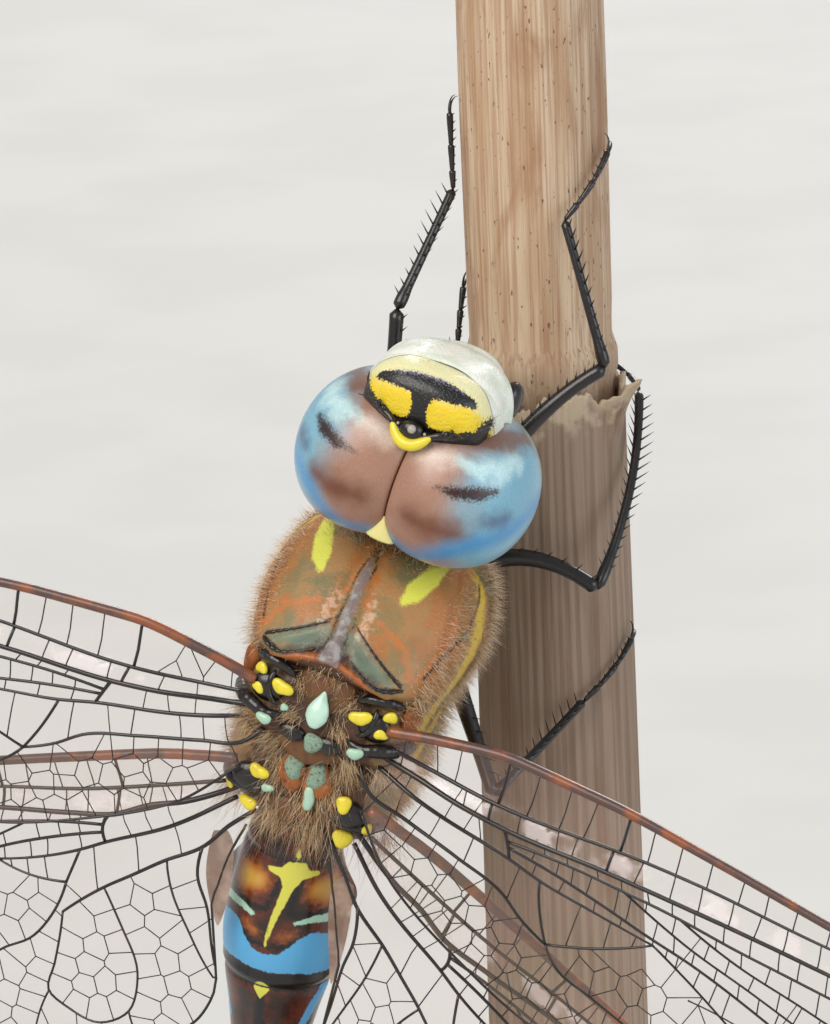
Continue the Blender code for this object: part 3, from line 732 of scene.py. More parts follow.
@dataclass
class Studio:
    """Pale floor, soft light and the camera that looks down the insect's back."""
    aim: Point = (-4.65, -8.0, 76.0)
    distance: float = 260.0
    elevation: float = 15.0
    roll: float = -2.2
    view_height: float = 35.19
    sensor: float = 36.0
    floor_size: float = 6000.0
    ambient: float = 0.5
    lit: Point = (-5.0, -6.0, 72.0)
    lamps: tuple[Lamp, ...] = (
        Lamp("key_softbox", (-770.0, -980.0, 1120.0), 1260.0, 21.6, "#FFF8F0"),
        Lamp("fill_softbox", (1090.0, -770.0, 310.0), 960.0, 6.3, "#EAF2FF"),
        Lamp("rim_softbox", (370.0, 1150.0, 820.0), 780.0, 10.8, "#FFFFFF"))

    def build_floor(self) -> None:
        """A square of board at z = 0, centred under the stand."""
        half = 0.5 * self.floor_size * MM
        mesh = bpy.data.meshes.new("studio_floor")
        mesh.from_pydata([(-half, -half, 0), (half, -half, 0), (half, half, 0), (-half, half, 0)], [],
            [(0, 1, 2, 3)])
        add_object("studio_floor", mesh, PAINTED_BOARD.material())

    def build_lamps(self) -> None:
        """The soft boxes, which look at the insect, and an even grey world."""
        for lamp in self.lamps:
            light = bpy.data.lights.new(lamp.name, "AREA")
            light.shape, light.size, light.energy = "DISK", lamp.size * MM, lamp.power
            light.color = linear(lamp.tint)[:3]
            stand = bpy.data.objects.new(lamp.name, light)
            stand.location = Vector(lamp.place) * MM
            stand.rotation_euler = (Vector(self.lit) - Vector(lamp.place)).to_track_quat("-Z", "Y").to_euler()
            bpy.context.scene.collection.objects.link(stand)
        world = bpy.data.worlds.new("soft_room")
        world.use_nodes = True
        background = world.node_tree.nodes["Background"]
        background.inputs["Color"].default_value = linear("#F1F3F6")
        background.inputs["Strength"].default_value = self.ambient
        bpy.context.scene.world = world

    def build_camera(self) -> None:
        """Looks along +Y, down by the elevation and rolled; the lens follows from the view's height."""
        rise, lean = np.radians(self.elevation), np.radians(self.roll)
        ahead = np.array([0.0, np.cos(rise), -np.sin(rise)])
        right, up = np.array([1.0, 0.0, 0.0]), np.array([0.0, np.sin(rise), np.cos(rise)])
        across = np.cos(lean) * right + np.sin(lean) * up
        upright = np.cos(lean) * up - np.sin(lean) * right
        camera = bpy.data.cameras.new("camera")
        camera.sensor_fit, camera.sensor_width = "AUTO", self.sensor
        camera.lens = self.distance * self.sensor / self.view_height
        camera.clip_start, camera.clip_end = 0.001, 20.0
        holder = bpy.data.objects.new("camera", camera)
        turned = Matrix(np.stack((across, upright, -ahead), axis=1).tolist()).to_4x4()
        turned.translation = Vector(np.array(self.aim) - ahead * self.distance) * MM
        holder.matrix_world = turned
        bpy.context.scene.collection.objects.link(holder)
        bpy.context.scene.camera = holder

    def build(self) -> None:
        """Sets the whole studio up, with a plain tone curve so that colours keep their strength."""
        bpy.context.scene.view_settings.view_transform = "Standard"
        self.build_floor()
        self.build_lamps()
        self.build_camera()


# --- stand and perch -------------------------------------------------------------------
@dataclass
class Perch:
    """The turned base, the rod, the cut reed and the leaf sheath that wraps it below its node."""
    base_radius: float = 28.0
    base_height: float = 8.0
    base_edge: float = 1.2
    base_foot: float = 0.4
    bead_inset: float = 3.6
    rod_radius: float = 1.0
    rod_socket: float = 4.0
    rod_free: float = 7.0
    rod_in_reed: float = 8.0
    reed_radius: float = 2.55
    reed_top: float = 101.0
    reed_node: float = 79.3
    hollow_radius: float = 1.85
    hollow_depth: float = 12.0
    sheath_length: float = 54.0
    sheath_turns: Flat = (-62.0, 200.0)
    sheath_gap: float = 0.1
    lip_at: float = 58.0
    lip_reach: float = 1.2
    clearance: float = 0.1

    @staticmethod
    def turned(profile: Rows, columns: int) -> Array:
        """The grid of a profile of radius and height turned about z."""
        edge = np.asarray(profile, float)
        angles = ring_angles(columns)
        radius, height = edge[:, :1], edge[:, 1:]
        return np.stack((radius * np.cos(angles), radius * np.sin(angles), height + 0.0 * angles), axis=-1)

    @staticmethod
    def waves(angle: Array, *waves: tuple[float, float, float]) -> Array:
        """The sum of size * sin(count * angle + phase) over rows of count, phase and size."""
        return sum(size * np.sin(count * angle + phase) for count, phase, size in waves)

    def build_base(self) -> None:
        """A disc with a rounded foot and shoulder and a shallow bead round its top."""
        radius, height, edge = self.base_radius, self.base_height, self.base_edge
        turns = np.linspace(0.0, 0.5 * np.pi, 9)
        foot = [(radius - self.base_foot * (1 - np.sin(t)), self.base_foot * (1 - np.cos(t))) for t in turns]
        shoulder = [(radius - edge * (1 - np.cos(t)), height - edge * (1 - np.sin(t))) for t in turns]
        bead_at = radius - self.bead_inset
        bead = [(bead_at + 0.5 * np.cos(t), height - 0.25 * np.sin(t)) for t in 2.0 * turns]
        hole = self.rod_radius + self.clearance
        inner = [(bead_at - 6.0, height), (12.0, height), (hole + 0.3, height), (hole, height - 0.2),
                 (hole, height - self.rod_socket)]
        shell = grid_shell(self.turned(foot + shoulder + bead + inner, 128), around=True, caps=True)
        add_piece("turned_base", shell, OiledWalnut(), ["stand_base"])

    def build_rod(self) -> None:
        """A straight rod with its edges broken."""
        low = self.base_height - self.rod_socket + self.clearance
        high = self.base_height + self.rod_free + self.rod_in_reed
        r, edge = self.rod_radius, 0.15
        profile = [(r - edge, low), (r, low + edge), (r, high - edge), (r - edge, high)]
        add_piece("steel_rod", grid_shell(self.turned(profile, 48), around=True, caps=True), TurnedSteel(),
                  ["stand_rod"])

    def build_reed(self) -> None:
        """The stem's profile turned about z, swollen at the node with a narrow waist just above it,
        then ribbed: its radius rises and falls with the angle."""
        bottom, radius, hollow = self.base_height + self.rod_free, self.reed_radius, self.hollow_radius
        hole = self.rod_radius + self.clearance
        heights = np.linspace(bottom + 0.15, self.reed_top - 0.12, 150)
        outline = (radius + 0.2 * bell(heights, self.reed_node, 0.5)
                   - 0.05 * bell(heights, self.reed_node + 1.1, 0.5) + 0.02 * np.sin(heights * 0.37))
        crown = [(radius - 0.1, self.reed_top), (hollow + 0.1, self.reed_top - 0.04),
                 (hollow, self.reed_top - 0.3), (hollow, self.reed_top - self.hollow_depth)]
        profile = [(hole, bottom + self.rod_in_reed), (hole, bottom + 0.1), (hole + 0.1, bottom),
                   (radius - 0.15, bottom), *np.stack((outline, heights), axis=1).tolist(), *crown]
        grid = self.turned(profile, 144)
        ribs = self.waves(ring_angles(144), (2, 0.4, 0.03), (5, 2.0, 0.015), (17, 1.1, 0.012),
            (43, 0.3, 0.012))
        outer = smooth_step(hollow, radius - 0.2, np.asarray(profile)[:, 0])
        grid[..., :2] *= (1.0 + outer[:, None] * ribs / radius)[..., None]
        add_piece("reed_stem", grid_shell(grid, around=True, caps=True), DryReed(self.reed_node),
                  ["perch_reed"])

    def build_sheath(self) -> None:
        """Two skins round part of the reed, joined at the rim; the lip frays, flares and curls once."""
        around, down = 220, 90
        angle = np.linspace(*self.sheath_turns, around)[None, :]
        share = np.linspace(0.0, 1.0, down)[:, None] ** 1.6
        run = share * self.sheath_length
        turns = np.radians(angle)
        fray = self.waves(turns, (5, 0.2, 0.22), (13, 1.0, 0.12), (31, 2.2, 0.07), (67, 0.9, 0.05))
        curl = np.clip(1.0 - np.abs(angle - self.lip_at) / 20.0, 0.0, 1.0) ** 1.5
        flare = self.lip_reach * curl * np.exp(-run / 0.9)
        ribs = self.waves(turns, (60, 0.0, 0.015), (23, 1.0, 0.02))
        wall = 0.2 + 0.3 * share ** 0.5
        height = self.reed_node - 0.95 - run + (fray + 0.5 * self.lip_reach * curl) * np.exp(-run / 1.5)
        skins = []
        for outside in (0.0, 1.0):
            radius = (self.reed_radius + self.sheath_gap + 0.12 * np.exp(-run / 0.8)
                      + flare + outside * (wall + ribs))
            skins.append(np.stack((radius * np.sin(turns), -radius * np.cos(turns), height + 0.0 * radius),
                axis=-1))
        shell = grid_shell(np.concatenate((skins[0][::-1], skins[1]), axis=0))
        index = np.arange(2 * down * around).reshape(2 * down, around)
        for edge, order in ((index[:, 0], 1), (index[:, -1], -1)):
            shell.faces.append(np.stack((edge[:down - 1], edge[1:down], edge[-2:down - 1:-1],
                                         edge[:down:-1]), axis=1)[:, ::order])
        shell.faces.append(np.stack((index[0, :-1], index[0, 1:], index[-1, 1:], index[-1, :-1]),
            axis=1)[:, ::-1])
        shell.marks["lip"] = (np.concatenate((run[::-1], run)) + 0.0 * angle).ravel() - 0.7
        add_piece("leaf_sheath", shell, DryHusk(), ["perch_sheath"])

    def build(self) -> None:
        """Makes the base, the rod, the reed and the sheath."""
        self.build_base()
        self.build_rod()
        self.build_reed()
        self.build_sheath()


# --- the insect's place ----------------------------------------------------------------
BODY_ORIGIN = (-8.1, -10.5, 70.1)
BODY_LEAN, BODY_PITCH, BODY_ROLL = 18.0, 6.0, 17.0
HEAD_CENTRE = (0.3, 8.4, -2.6)
HEAD_PITCH, HEAD_ROLL, HEAD_TURN = 5.0, 2.0, -1.5


# --- head ------------------------------------------------------------------------------
@dataclass(frozen=True)
class CompoundEye(Finish):
    """Thousands of clear corneal lenses over pigment: glossy, rosy brown above, sky blue at the side,
    a bright blue band behind, blotches of maroon, umber and mauve, a painted highlight near the
    crescent, and a fine honeycomb in the gloss."""
    rose: str = "#A67E6A"
    sky: str = "#7FB8CE"
    under: str = "#8E9C74"
    umber: str = "#6A381E"
    rim: str = "#D8D48A"
    smears_and_highlight: tuple[tuple[str, str, float, float, float, float], ...] = (
        # pale is a painted highlight by the crescent; the other rows are pigment.
        ("pale", "#F0E2D6", 0.9, 0.1, 0.6, 0.85), ("umber", "#6A381E", 1.2, 0.12, 0.7, 0.95),
        ("cyan", "#C8ECEE", 0.7, 0.16, 0.5, 0.85), ("brown", "#74462A", 0.8, 0.18, 0.5, 0.85),
        ("mauve", "#3E4270", 0.8, 0.1, 0.4, 0.7), ("band", "#3C96D0", 0.9, 0.06, 0.7, 0.95),
        ("streak", "#220606", 0.26, 0.07, 0.07, 0.97))
    facet: float = 0.075

    def build(self) -> Material:
        """Each pigment, and the painted highlight, laid over the last where the eye's marks put it, then the
        cells as bump.
        """
        recipe = Recipe("compound_eye")
        drift = recipe.level(recipe.grain(1.1, 3.0, distortion=0.6), 0.3, 0.7, -0.25, 0.25)
        outward = recipe.level(recipe.maths("ADD", recipe.mark("outward"), drift), 1.5, 3.4)
        skin = recipe.blend(recipe.level(recipe.mark("under"), 0.2, 2.2),
            recipe.blend(outward, self.rose, self.sky), self.under)
        skin = recipe.coats(skin, *self.smears_and_highlight, ("rim", self.rim, 0.16, 0.0, 0.2, 1.0))
        cells = recipe.node("ShaderNodeTexVoronoi",
            {"Vector": recipe.where, "Scale": 1.0 / (self.facet * MM)})
        domes = recipe.level(cells.outputs["Distance"], 0.0, 0.6, 1.0, 0.0)
        skin = recipe.blend(recipe.level(domes, 0.0, 0.4, 0.12, 0.0), skin, self.umber)
        return recipe.surface(skin, 0.34, recipe.relief(domes, 0.004), Coat_Weight=0.35, Coat_Roughness=0.28,
                              Specular_IOR_Level=0.4)


@dataclass(frozen=True)
class FaceCuticle(Finish):
    """Waxy chitin, yellow on top of the brow and bone white lower down, with the black T painted
    on it; a little light enters it, and it is pitted where its hairs stand."""
    cream: str = "#EAE6B0"
    yellow: str = "#EED022"
    bone: str = "#F2F3E8"
    sage: str = "#DCE6D2"
    marks: tuple[tuple[str, str, float, float, float, float], ...] = (
        ("suture", "#3E4024", 0.05, 0.0, 0.2, 1.0), ("black", "#9A5216", 0.16, 0.08, 0.08, 0.6),
        ("black", "#0A0909", 0.05, 0.05, 0.08, 1.0), ("sheen", "#8C86A0", 0.14, 0.12, 0.07, 0.6))
    pit: float = 0.09

    def build(self) -> Material:
        """Yellow by the mark of height, ragged black with a reddish fringe, and dark suture lines."""
        recipe = Recipe("face_cuticle")
        skin = recipe.blend(recipe.painted("yellow", 0.75, 0.12, 0.4), self.cream, self.yellow)
        bone = recipe.blend(recipe.level(recipe.grain(0.7, 3.0), 0.4, 0.65), self.bone, self.sage)
        skin = recipe.coats(recipe.blend(recipe.painted("clypeus", 0.12), skin, bone), *self.marks)
        pits = recipe.level(recipe.grain(self.pit, 1.0), 0.3, 0.6)
        return recipe.surface(skin, 0.36, recipe.relief(pits, 0.012), Coat_Weight=0.3, Coat_Roughness=0.2,
                              Subsurface_Weight=0.08, Subsurface_Scale=0.0003)


@dataclass
class Head:
    """Two wrap-round eyes that meet on a seam, the face shield in front of them, and the parts
    between and behind them."""
    place: Placement
    eye_centre: Point = (1.5, -0.15, 0.0)
    eye_radii: Point = (2.8, 2.9, 3.2)
    eye_square: float = 0.97
    seam_half_gap: float = 0.015
    seam_softness: float = 0.06
    eye_back: float = -2.3
    shield_axis: Flat = (1.6, -0.4)
    shield_profile: tuple[Flat, ...] = (
        (0.9, 1.3), (1.5, 1.85), (2.2, 2.22), (2.9, 2.42), (3.45, 2.45), (3.85, 2.3), (4.14, 1.95),
        (4.26, 1.4), (4.26, 1.0), (4.22, 0.88), (4.27, 0.76), (4.32, 0.3), (4.3, -0.4), (4.24, -0.95),
        (4.1, -1.4), (3.92, -1.8), (3.84, -1.98), (3.8, -2.1), (3.74, -2.5),
        (3.45, -3.0), (2.9, -3.25), (2.2, -3.35), (1.3, -3.1), (0.9, -1.8), (0.8, 0.0))
    shield_widths: tuple[Flat, ...] = (
        (-3.4, 1.3), (-2.9, 1.6), (-2.1, 1.95), (-1.3, 2.4), (-0.6, 2.56), (0.0, 2.42), (0.6, 2.5),
        (1.6, 2.48), (2.5, 2.3))
    shield_crest: Flat = (3.7, 2.4)
    eye_marks: tuple[tuple[str, Rows], ...] = (
        # pale: where the painted highlight by the crescent lies.
        ("pale", ((0.45, 1.7, 2.4, 0.3), (1.0, 1.75, 2.5, 0.35), (1.6, 1.85, 2.35, 0.2))),
        ("umber", ((0.9, -0.5, 3.1, 0.35), (1.9, -0.55, 3.15, 0.5), (2.7, -0.45, 2.9, 0.35))),
        ("cyan",
            ((2.0, 1.85, 2.3, 0.15), (2.6, 1.75, 2.15, 0.3), (3.2, 1.7, 1.5, 0.4), (3.4, 1.95, 0.8, 0.4))),
        ("brown",
            ((1.9, 2.5, 1.3, 0.5), (2.5, 2.45, 0.9, 0.62), (3.0, 2.35, 0.2, 0.5), (3.2, 2.2, -0.6, 0.35))),
        ("mauve", ((3.35, 0.15, 2.35, 0.2), (3.85, 0.15, 1.8, 0.3))),
        ("band",
            ((-0.2, -2.05, 2.2, 0.3), (0.6, -2.0, 2.4, 0.34), (1.3, -2.1, 2.35, 0.36), (1.9, -1.8, 2.6, 0.36),
                (2.6, -1.25, 2.7, 0.34), (3.3, -0.75, 2.35, 0.34), (4.0, -0.4, 1.4, 0.34),
                (4.25, 0.2, 0.0, 0.32), (4.1, 0.2, -1.4, 0.2))),
        ("streak",
            ((1.5, 0.9, 3.0, 0.02), (2.2, 0.92, 2.87, 0.2), (2.9, 1.02, 2.46, 0.24), (3.35, 1.15, 2.0, 0.1))))
    black_marks: tuple[Rows, ...] = (
        ((-1.62, 0.3, 0.17), (-1.1, 0.25, 0.27), (-0.36, 0.22, 0.37), (0.36, 0.22, 0.38), (1.1, 0.25, 0.3),
         (1.58, 0.32, 0.19)),
        ((0.0, 0.0, 0.45), (0.02, -0.5, 0.29), (0.04, -0.95, 0.28), (0.05, -1.5, 0.6)),
        ((-2.3, 0.8, 0.02), (-2.15, -0.4, 0.3), (-1.65, -1.35, 0.5), (-1.0, -1.72, 0.54), (0.0, -1.95, 0.72),
         (1.0, -1.75, 0.5), (1.65, -1.5, 0.42), (2.15, -0.7, 0.2), (2.3, 0.8, 0.02)))
    sheen_mark: Rows = ((-1.2, 0.5, 0.02), (-0.5, 0.58, 0.06), (0.4, 0.56, 0.06), (1.2, 0.5, 0.02))

    def add(self, name: str, parts: Shell | list[Shell], finish: Finish, slot: Slot, *nodes: str,
            uv_name: str = "lay") -> None:
        """Adds a piece worked out in the head's frame, of one shell or of several."""
        shell = Shell.join(parts) if isinstance(parts, list) else parts
        add_piece(name, self.place.carried(shell), finish, nodes, uv_name)

    def build_eye(self, side: Side, rows: int = 120, columns: int = 180) -> None:
        """An ellipsoid pressed softly against the seam plane and the back of the head.

        The press moves a point at depth d behind a plane to (d + sqrt(d^2 + s^2)) / 2 in front
        of it, with s the softness.

        Args:
            side: which eye.
            rows: how many rings it has from pole to pole.
            columns: how many points a ring has.
        """
        polar = np.linspace(0.0, np.pi, rows)[1:-1, None]
        around = ring_angles(columns)[None, :]
        belt = swell(np.sin(polar), self.eye_square)
        direction = np.stack((swell(np.cos(polar), self.eye_square) + 0.0 * around,
                              belt * swell(np.cos(around), self.eye_square),
                              belt * swell(np.sin(around), self.eye_square)), axis=-1)
        grid = np.array(self.eye_centre) + direction * np.array(self.eye_radii)
        seam = grid[..., 0] - self.seam_half_gap
        grid[..., 0] = self.seam_half_gap + 0.5 * (seam + np.sqrt(seam ** 2 + self.seam_softness ** 2))
        back = unit(np.array([0.0, 1.0, 0.12]))
        depth = grid @ back - self.eye_back
        pressed = 0.5 * (depth + np.sqrt(depth ** 2 + 0.25 ** 2))
        grid += (pressed - depth)[..., None] * back
        shell = grid_shell(grid[:, ::side.value], around=True, caps=True)
        flat = shell.points
        shell.marks = {name: outside_stroke(flat, stroke) for name, stroke in self.eye_marks}
        shell.marks["outward"], shell.marks["under"] = flat[:, 0].copy(), -flat[:, 2]
        shell.marks["rim"] = np.abs(flat @ back - self.eye_back - 0.2) - 0.05
        flat[:, 0] *= side.value
        self.add("eye_dome_" + side.word, shell, CompoundEye(), Slot.EYE, "eye_" + side.word)

    def build_shield(self) -> None:
        """The face as one shell: the profile drawn in towards an inner axis across the head.

        At an angle a across, x = width * swell(sin a, 0.8), and the profile's distance from the
        axis is times cos(a)^0.6 forward and cos(a)^0.35 in height, so that the shield rounds off
        into the cheeks. Its marks lie on a chart of x and of the way down from the crest.
        """
        profile = polyline(self.shield_profile + self.shield_profile[:1], 0.045)[:-1]
        runs = running_length(profile)
        runs = runs - runs[np.argmin(np.linalg.norm(profile - np.array(self.shield_crest), axis=1))]
        across = np.linspace(-0.5 * np.pi, 0.5 * np.pi, 101)[1:-1]
        axis = np.array(self.shield_axis)
        width = curve_through(self.shield_widths, profile[:, 1]) * (1.0
            - 0.16 * smooth_step(2.9, 2.1, profile[:, 0]))
        shrink = np.stack((np.cos(across) ** 0.6, np.cos(across) ** 0.35), axis=-1)
        middle = axis + (profile[:, None, :] - axis) * shrink[None]
        x = width[:, None] * swell(np.sin(across), 0.8)[None, :]
        grid = np.concatenate((x[..., None], middle), axis=-1)
        shell = grid_shell(np.swapaxes(grid, 0, 1), around=True, caps=True)
        run = np.concatenate((np.tile(runs, len(across)), [0.0, 0.0]))
        across = shell.points[:, 0]
        level = run - 0.1 * across
        chart = np.stack((across, level), axis=1)
        seam = 1.74 - 0.1 * across ** 2 - 0.02 * across ** 4
        shell.marks = {
            "black": outside_all(chart, self.black_marks),
            "sheen": outside_stroke(chart, self.sheen_mark),
            "yellow": np.maximum(level + 0.1, -2.6 - level) - 0.18 * np.abs(across),
            "suture": np.abs(level - seam) - 0.034,
            "clypeus": seam - level}
        self.add_bristles(shell)
        self.add("face_shield", shell, FaceCuticle(), Slot.FACE, "frons", "clypeus", "labrum")

    def add_bristles(self, shield: Shell) -> None:
        """Short black bristles on the dark band and pale ones over the rest of the face."""
        for title, finish, low, high, floor, count, seed, length in (
                ("face_bristles", BLACK_CHITIN, 2.75, 2.3, 0.12, 3600, 5, 0.22),
                ("face_down", BodyHair("#F2EEDC", "#D8CFB0"), 2.2, 3.0, 0.0, 5200, 6, 0.12)):
            roots, outward, lay = scatter(shield, count, lambda at: smooth_step(low, high, at[:, 1]) + floor,
                seed)
            chance = np.random.default_rng(seed)
            number = len(roots)
            ways = unit(outward + 0.4 * chance.normal(size=(number, 3)))
            lengths = length * (0.5 + chance.random(number))
            bends = 0.2 * chance.normal(size=(number, 3)) * lengths[:, None]
            hair = hair_shell(roots, ways, lengths, np.full(number, 0.006), bends, lay, chance.random(number))
            self.add(title, hair, finish, Slot.FACE, uv_name="OFBake")

    def build_brow(self) -> None:
        """The vertex between the eyes with its yellow crescent and ocelli, and the black welt along
        the eyes' margin that carries the antennal sockets."""
        half = ((0.45, 2.1, 2.46), (0.9, 2.34, 2.34), (1.5, 2.5, 2.12), (2.0, 2.78, 1.75), (2.3, 3.05, 1.2))
        margin = polyline((*((-x, y, z) for x, y, z in half[::-1]), (0.0, 1.95, 2.5), *half), 0.08)
        share = np.linspace(-1.0, 1.0, len(margin))
        thick = 0.04 + 0.09 * np.cos(0.5 * np.pi * share) ** 0.5 + 0.01 * np.sin(40.0 * share)
        sockets = [blob_shell((x, 2.42, 2.16), (0.24, 0.2, 0.2), 10, 14) for x in (-1.12, 1.12)]
        hump = blob_shell((0.0, 2.2, 2.4), (0.46, 0.36, 0.3))
        rim = one_tube(margin, thick, (0.0, -0.5, 1.0), 14)
        self.add("vertex_hump", [hump, *sockets, rim], BLACK_CHITIN, Slot.FACE, "vertex")
        across = np.linspace(-0.74, 0.74, 21)
        path = np.stack((across, 1.76 + 0.95 * across ** 2, 2.62 - 0.35 * across ** 2), axis=-1)
        thick = 0.23 * (1.0 - (across / 0.76) ** 2) ** 0.45
        self.add("vertex_crescent", one_tube(path, thick, (0.0, 0.3, 1.0), 16), YELLOW_PLATE, Slot.FACE)
        # The ocelli's pale grey is a painted highlight.
        lenses = (((0.05, 2.34, 2.6), 0.16), ((-0.5, 2.3, 2.5), 0.055), ((0.5, 2.3, 2.5), 0.055))
        self.add("ocelli", [blob_shell(at, (size, size, size), 12, 16) for at, size in lenses], OCELLUS_GLASS,
            Slot.FACE)

    def build_antenna(self, side: Side) -> None:
        """Two short joints and a bristle that tapers to a point."""
        s = side.value
        path = polyline(((1.38 * s, 2.72, 2.46), (1.6 * s, 2.84, 2.66), (1.8 * s, 2.92, 2.86),
            (1.98 * s, 2.98, 3.05)), 0.1)
        self.add("antenna_bristle_" + side.word,
                 [blob_shell((1.2 * s, 2.5, 2.3), (0.13, 0.15, 0.13), 10, 12),
                  blob_shell((1.36 * s, 2.68, 2.42), (0.09, 0.15, 0.1), 10, 12),
                  one_tube(path, np.linspace(0.055, 0.012, len(path)), (0.0, 0.0, 1.0), 8)],
                 BLACK_CHITIN, Slot.HEAD_BACK, "antenna_" + side.word)

    def build_back(self) -> None:
        """The occiput's yellow triangle, the hollowed back of the head, and the mouth parts."""
        t = np.linspace(0.02, 1.0, 18)
        ridge = np.stack((0.0 * t, -1.12 - 0.98 * t, 2.47 - 0.3 * t ** 1.6), axis=-1)
        self.add("occiput_triangle", one_tube(ridge, 0.03 + 0.5 * t ** 1.4, (0.0, 0.2, 1.0), 20, 0.3),
                 plate("occiput_plate", "#F0E89A", "#E2D63E"), Slot.FACE, "occiput")
        self.add("head_back", blob_shell((0.0, self.eye_back - 0.1, -0.25), (3.0, 0.42, 1.75), 30, 44, 0.85),
                 BLACK_CHITIN, Slot.HEAD_BACK, "head_capsule")
        palps = [blob_shell((x, 1.0, -3.1), (0.6, 0.75, 0.4), 14, 20) for x in (0.62, -0.62)]
        self.add("lower_lip", [blob_shell((0.0, 0.3, -3.0), (1.3, 1.5, 0.38), 20, 28, 0.85), *palps],
                 plate("lip_plate", "#C9B98A", "#6A5A34"), Slot.FACE, "labium")
        self.add("jaws", [blob_shell((x, 2.3, -2.6), (0.42, 0.75, 0.62), 14, 18) for x in (1.75, -1.75)],
                 BLACK_CHITIN, Slot.FACE)

    def build(self) -> None:
        """Makes every part of the head."""
        for side in Side:
            self.build_eye(side)
            self.build_antenna(side)
        self.build_shield()
        self.build_brow()
        self.build_back()


# --- trunk -----------------------------------------------------------------------------
@dataclass(frozen=True)
class TrunkCuticle(Finish):
    """Matt tan and moss-green chitin, rusty along its sutures, with lemon spots and stripes, a lilac grey
    keel paled in patches by a painted highlight, pale patches of painted sheen beside the keel, and
    verdigris hollows in front of the wings."""
    tan: str = "#A67E50"
    moss: str = "#78724C"
    bloom: str = "#A4A09E"
    marks: tuple[tuple[str, str, float, float, float, float], ...] = (
        ("basin", "#4A2E1C", 0.8, 0.3, 0.5, 1.0), ("rust", "#AE6C32", 0.9, 0.3, 0.5, 0.75),
        ("orange", "#C87030", 0.2, 0.05, 0.25, 0.65), ("ochre", "#D8B424", 0.3, 0.12, 0.25, 0.9),
        ("lemon", "#DBDE58", 0.14, 0.03, 0.08, 0.95), ("teal", "#6E8674", 0.4, 0.12, 0.25, 0.7),
        ("sheen", "#D9BFA6", 0.35, 0.2, 0.2, 0.55), ("lilac", "#7C7274", 0.16, 0.04, 0.2, 0.8))
    sutures: tuple[str, str, float, float, float, float] = ("black", "#2A1A14", 0.08, 0.03, 0.08, 0.94)

    def build(self) -> Material:
        """Clouds of tan and moss under painted marks; dark lines last; a pitted bump."""
        recipe = Recipe("trunk_cuticle")
        cloud = recipe.level(recipe.grain(1.6, 4.0, distortion=0.5), 0.38, 0.62)
        skin = recipe.coats(recipe.blend(cloud, self.tan, self.moss), *self.marks)
        # Pale patches over the keel's lilac grey: a painted highlight.
        highlight_share = recipe.maths("MULTIPLY", recipe.painted("lilac", *self.marks[-1][2:5]),
            recipe.level(recipe.grain(0.35, 3.0), 0.45, 0.65))
        skin = recipe.coats(recipe.blend(highlight_share, skin, self.bloom, 0.8), self.sutures)
        pits = recipe.grain(0.1, 3.0)
        return recipe.surface(skin, recipe.level(pits, 0.3, 0.7, 0.36, 0.55), recipe.relief(pits, 0.02),
                              Specular_IOR_Level=0.45, Coat_Weight=0.12, Coat_Roughness=0.3)


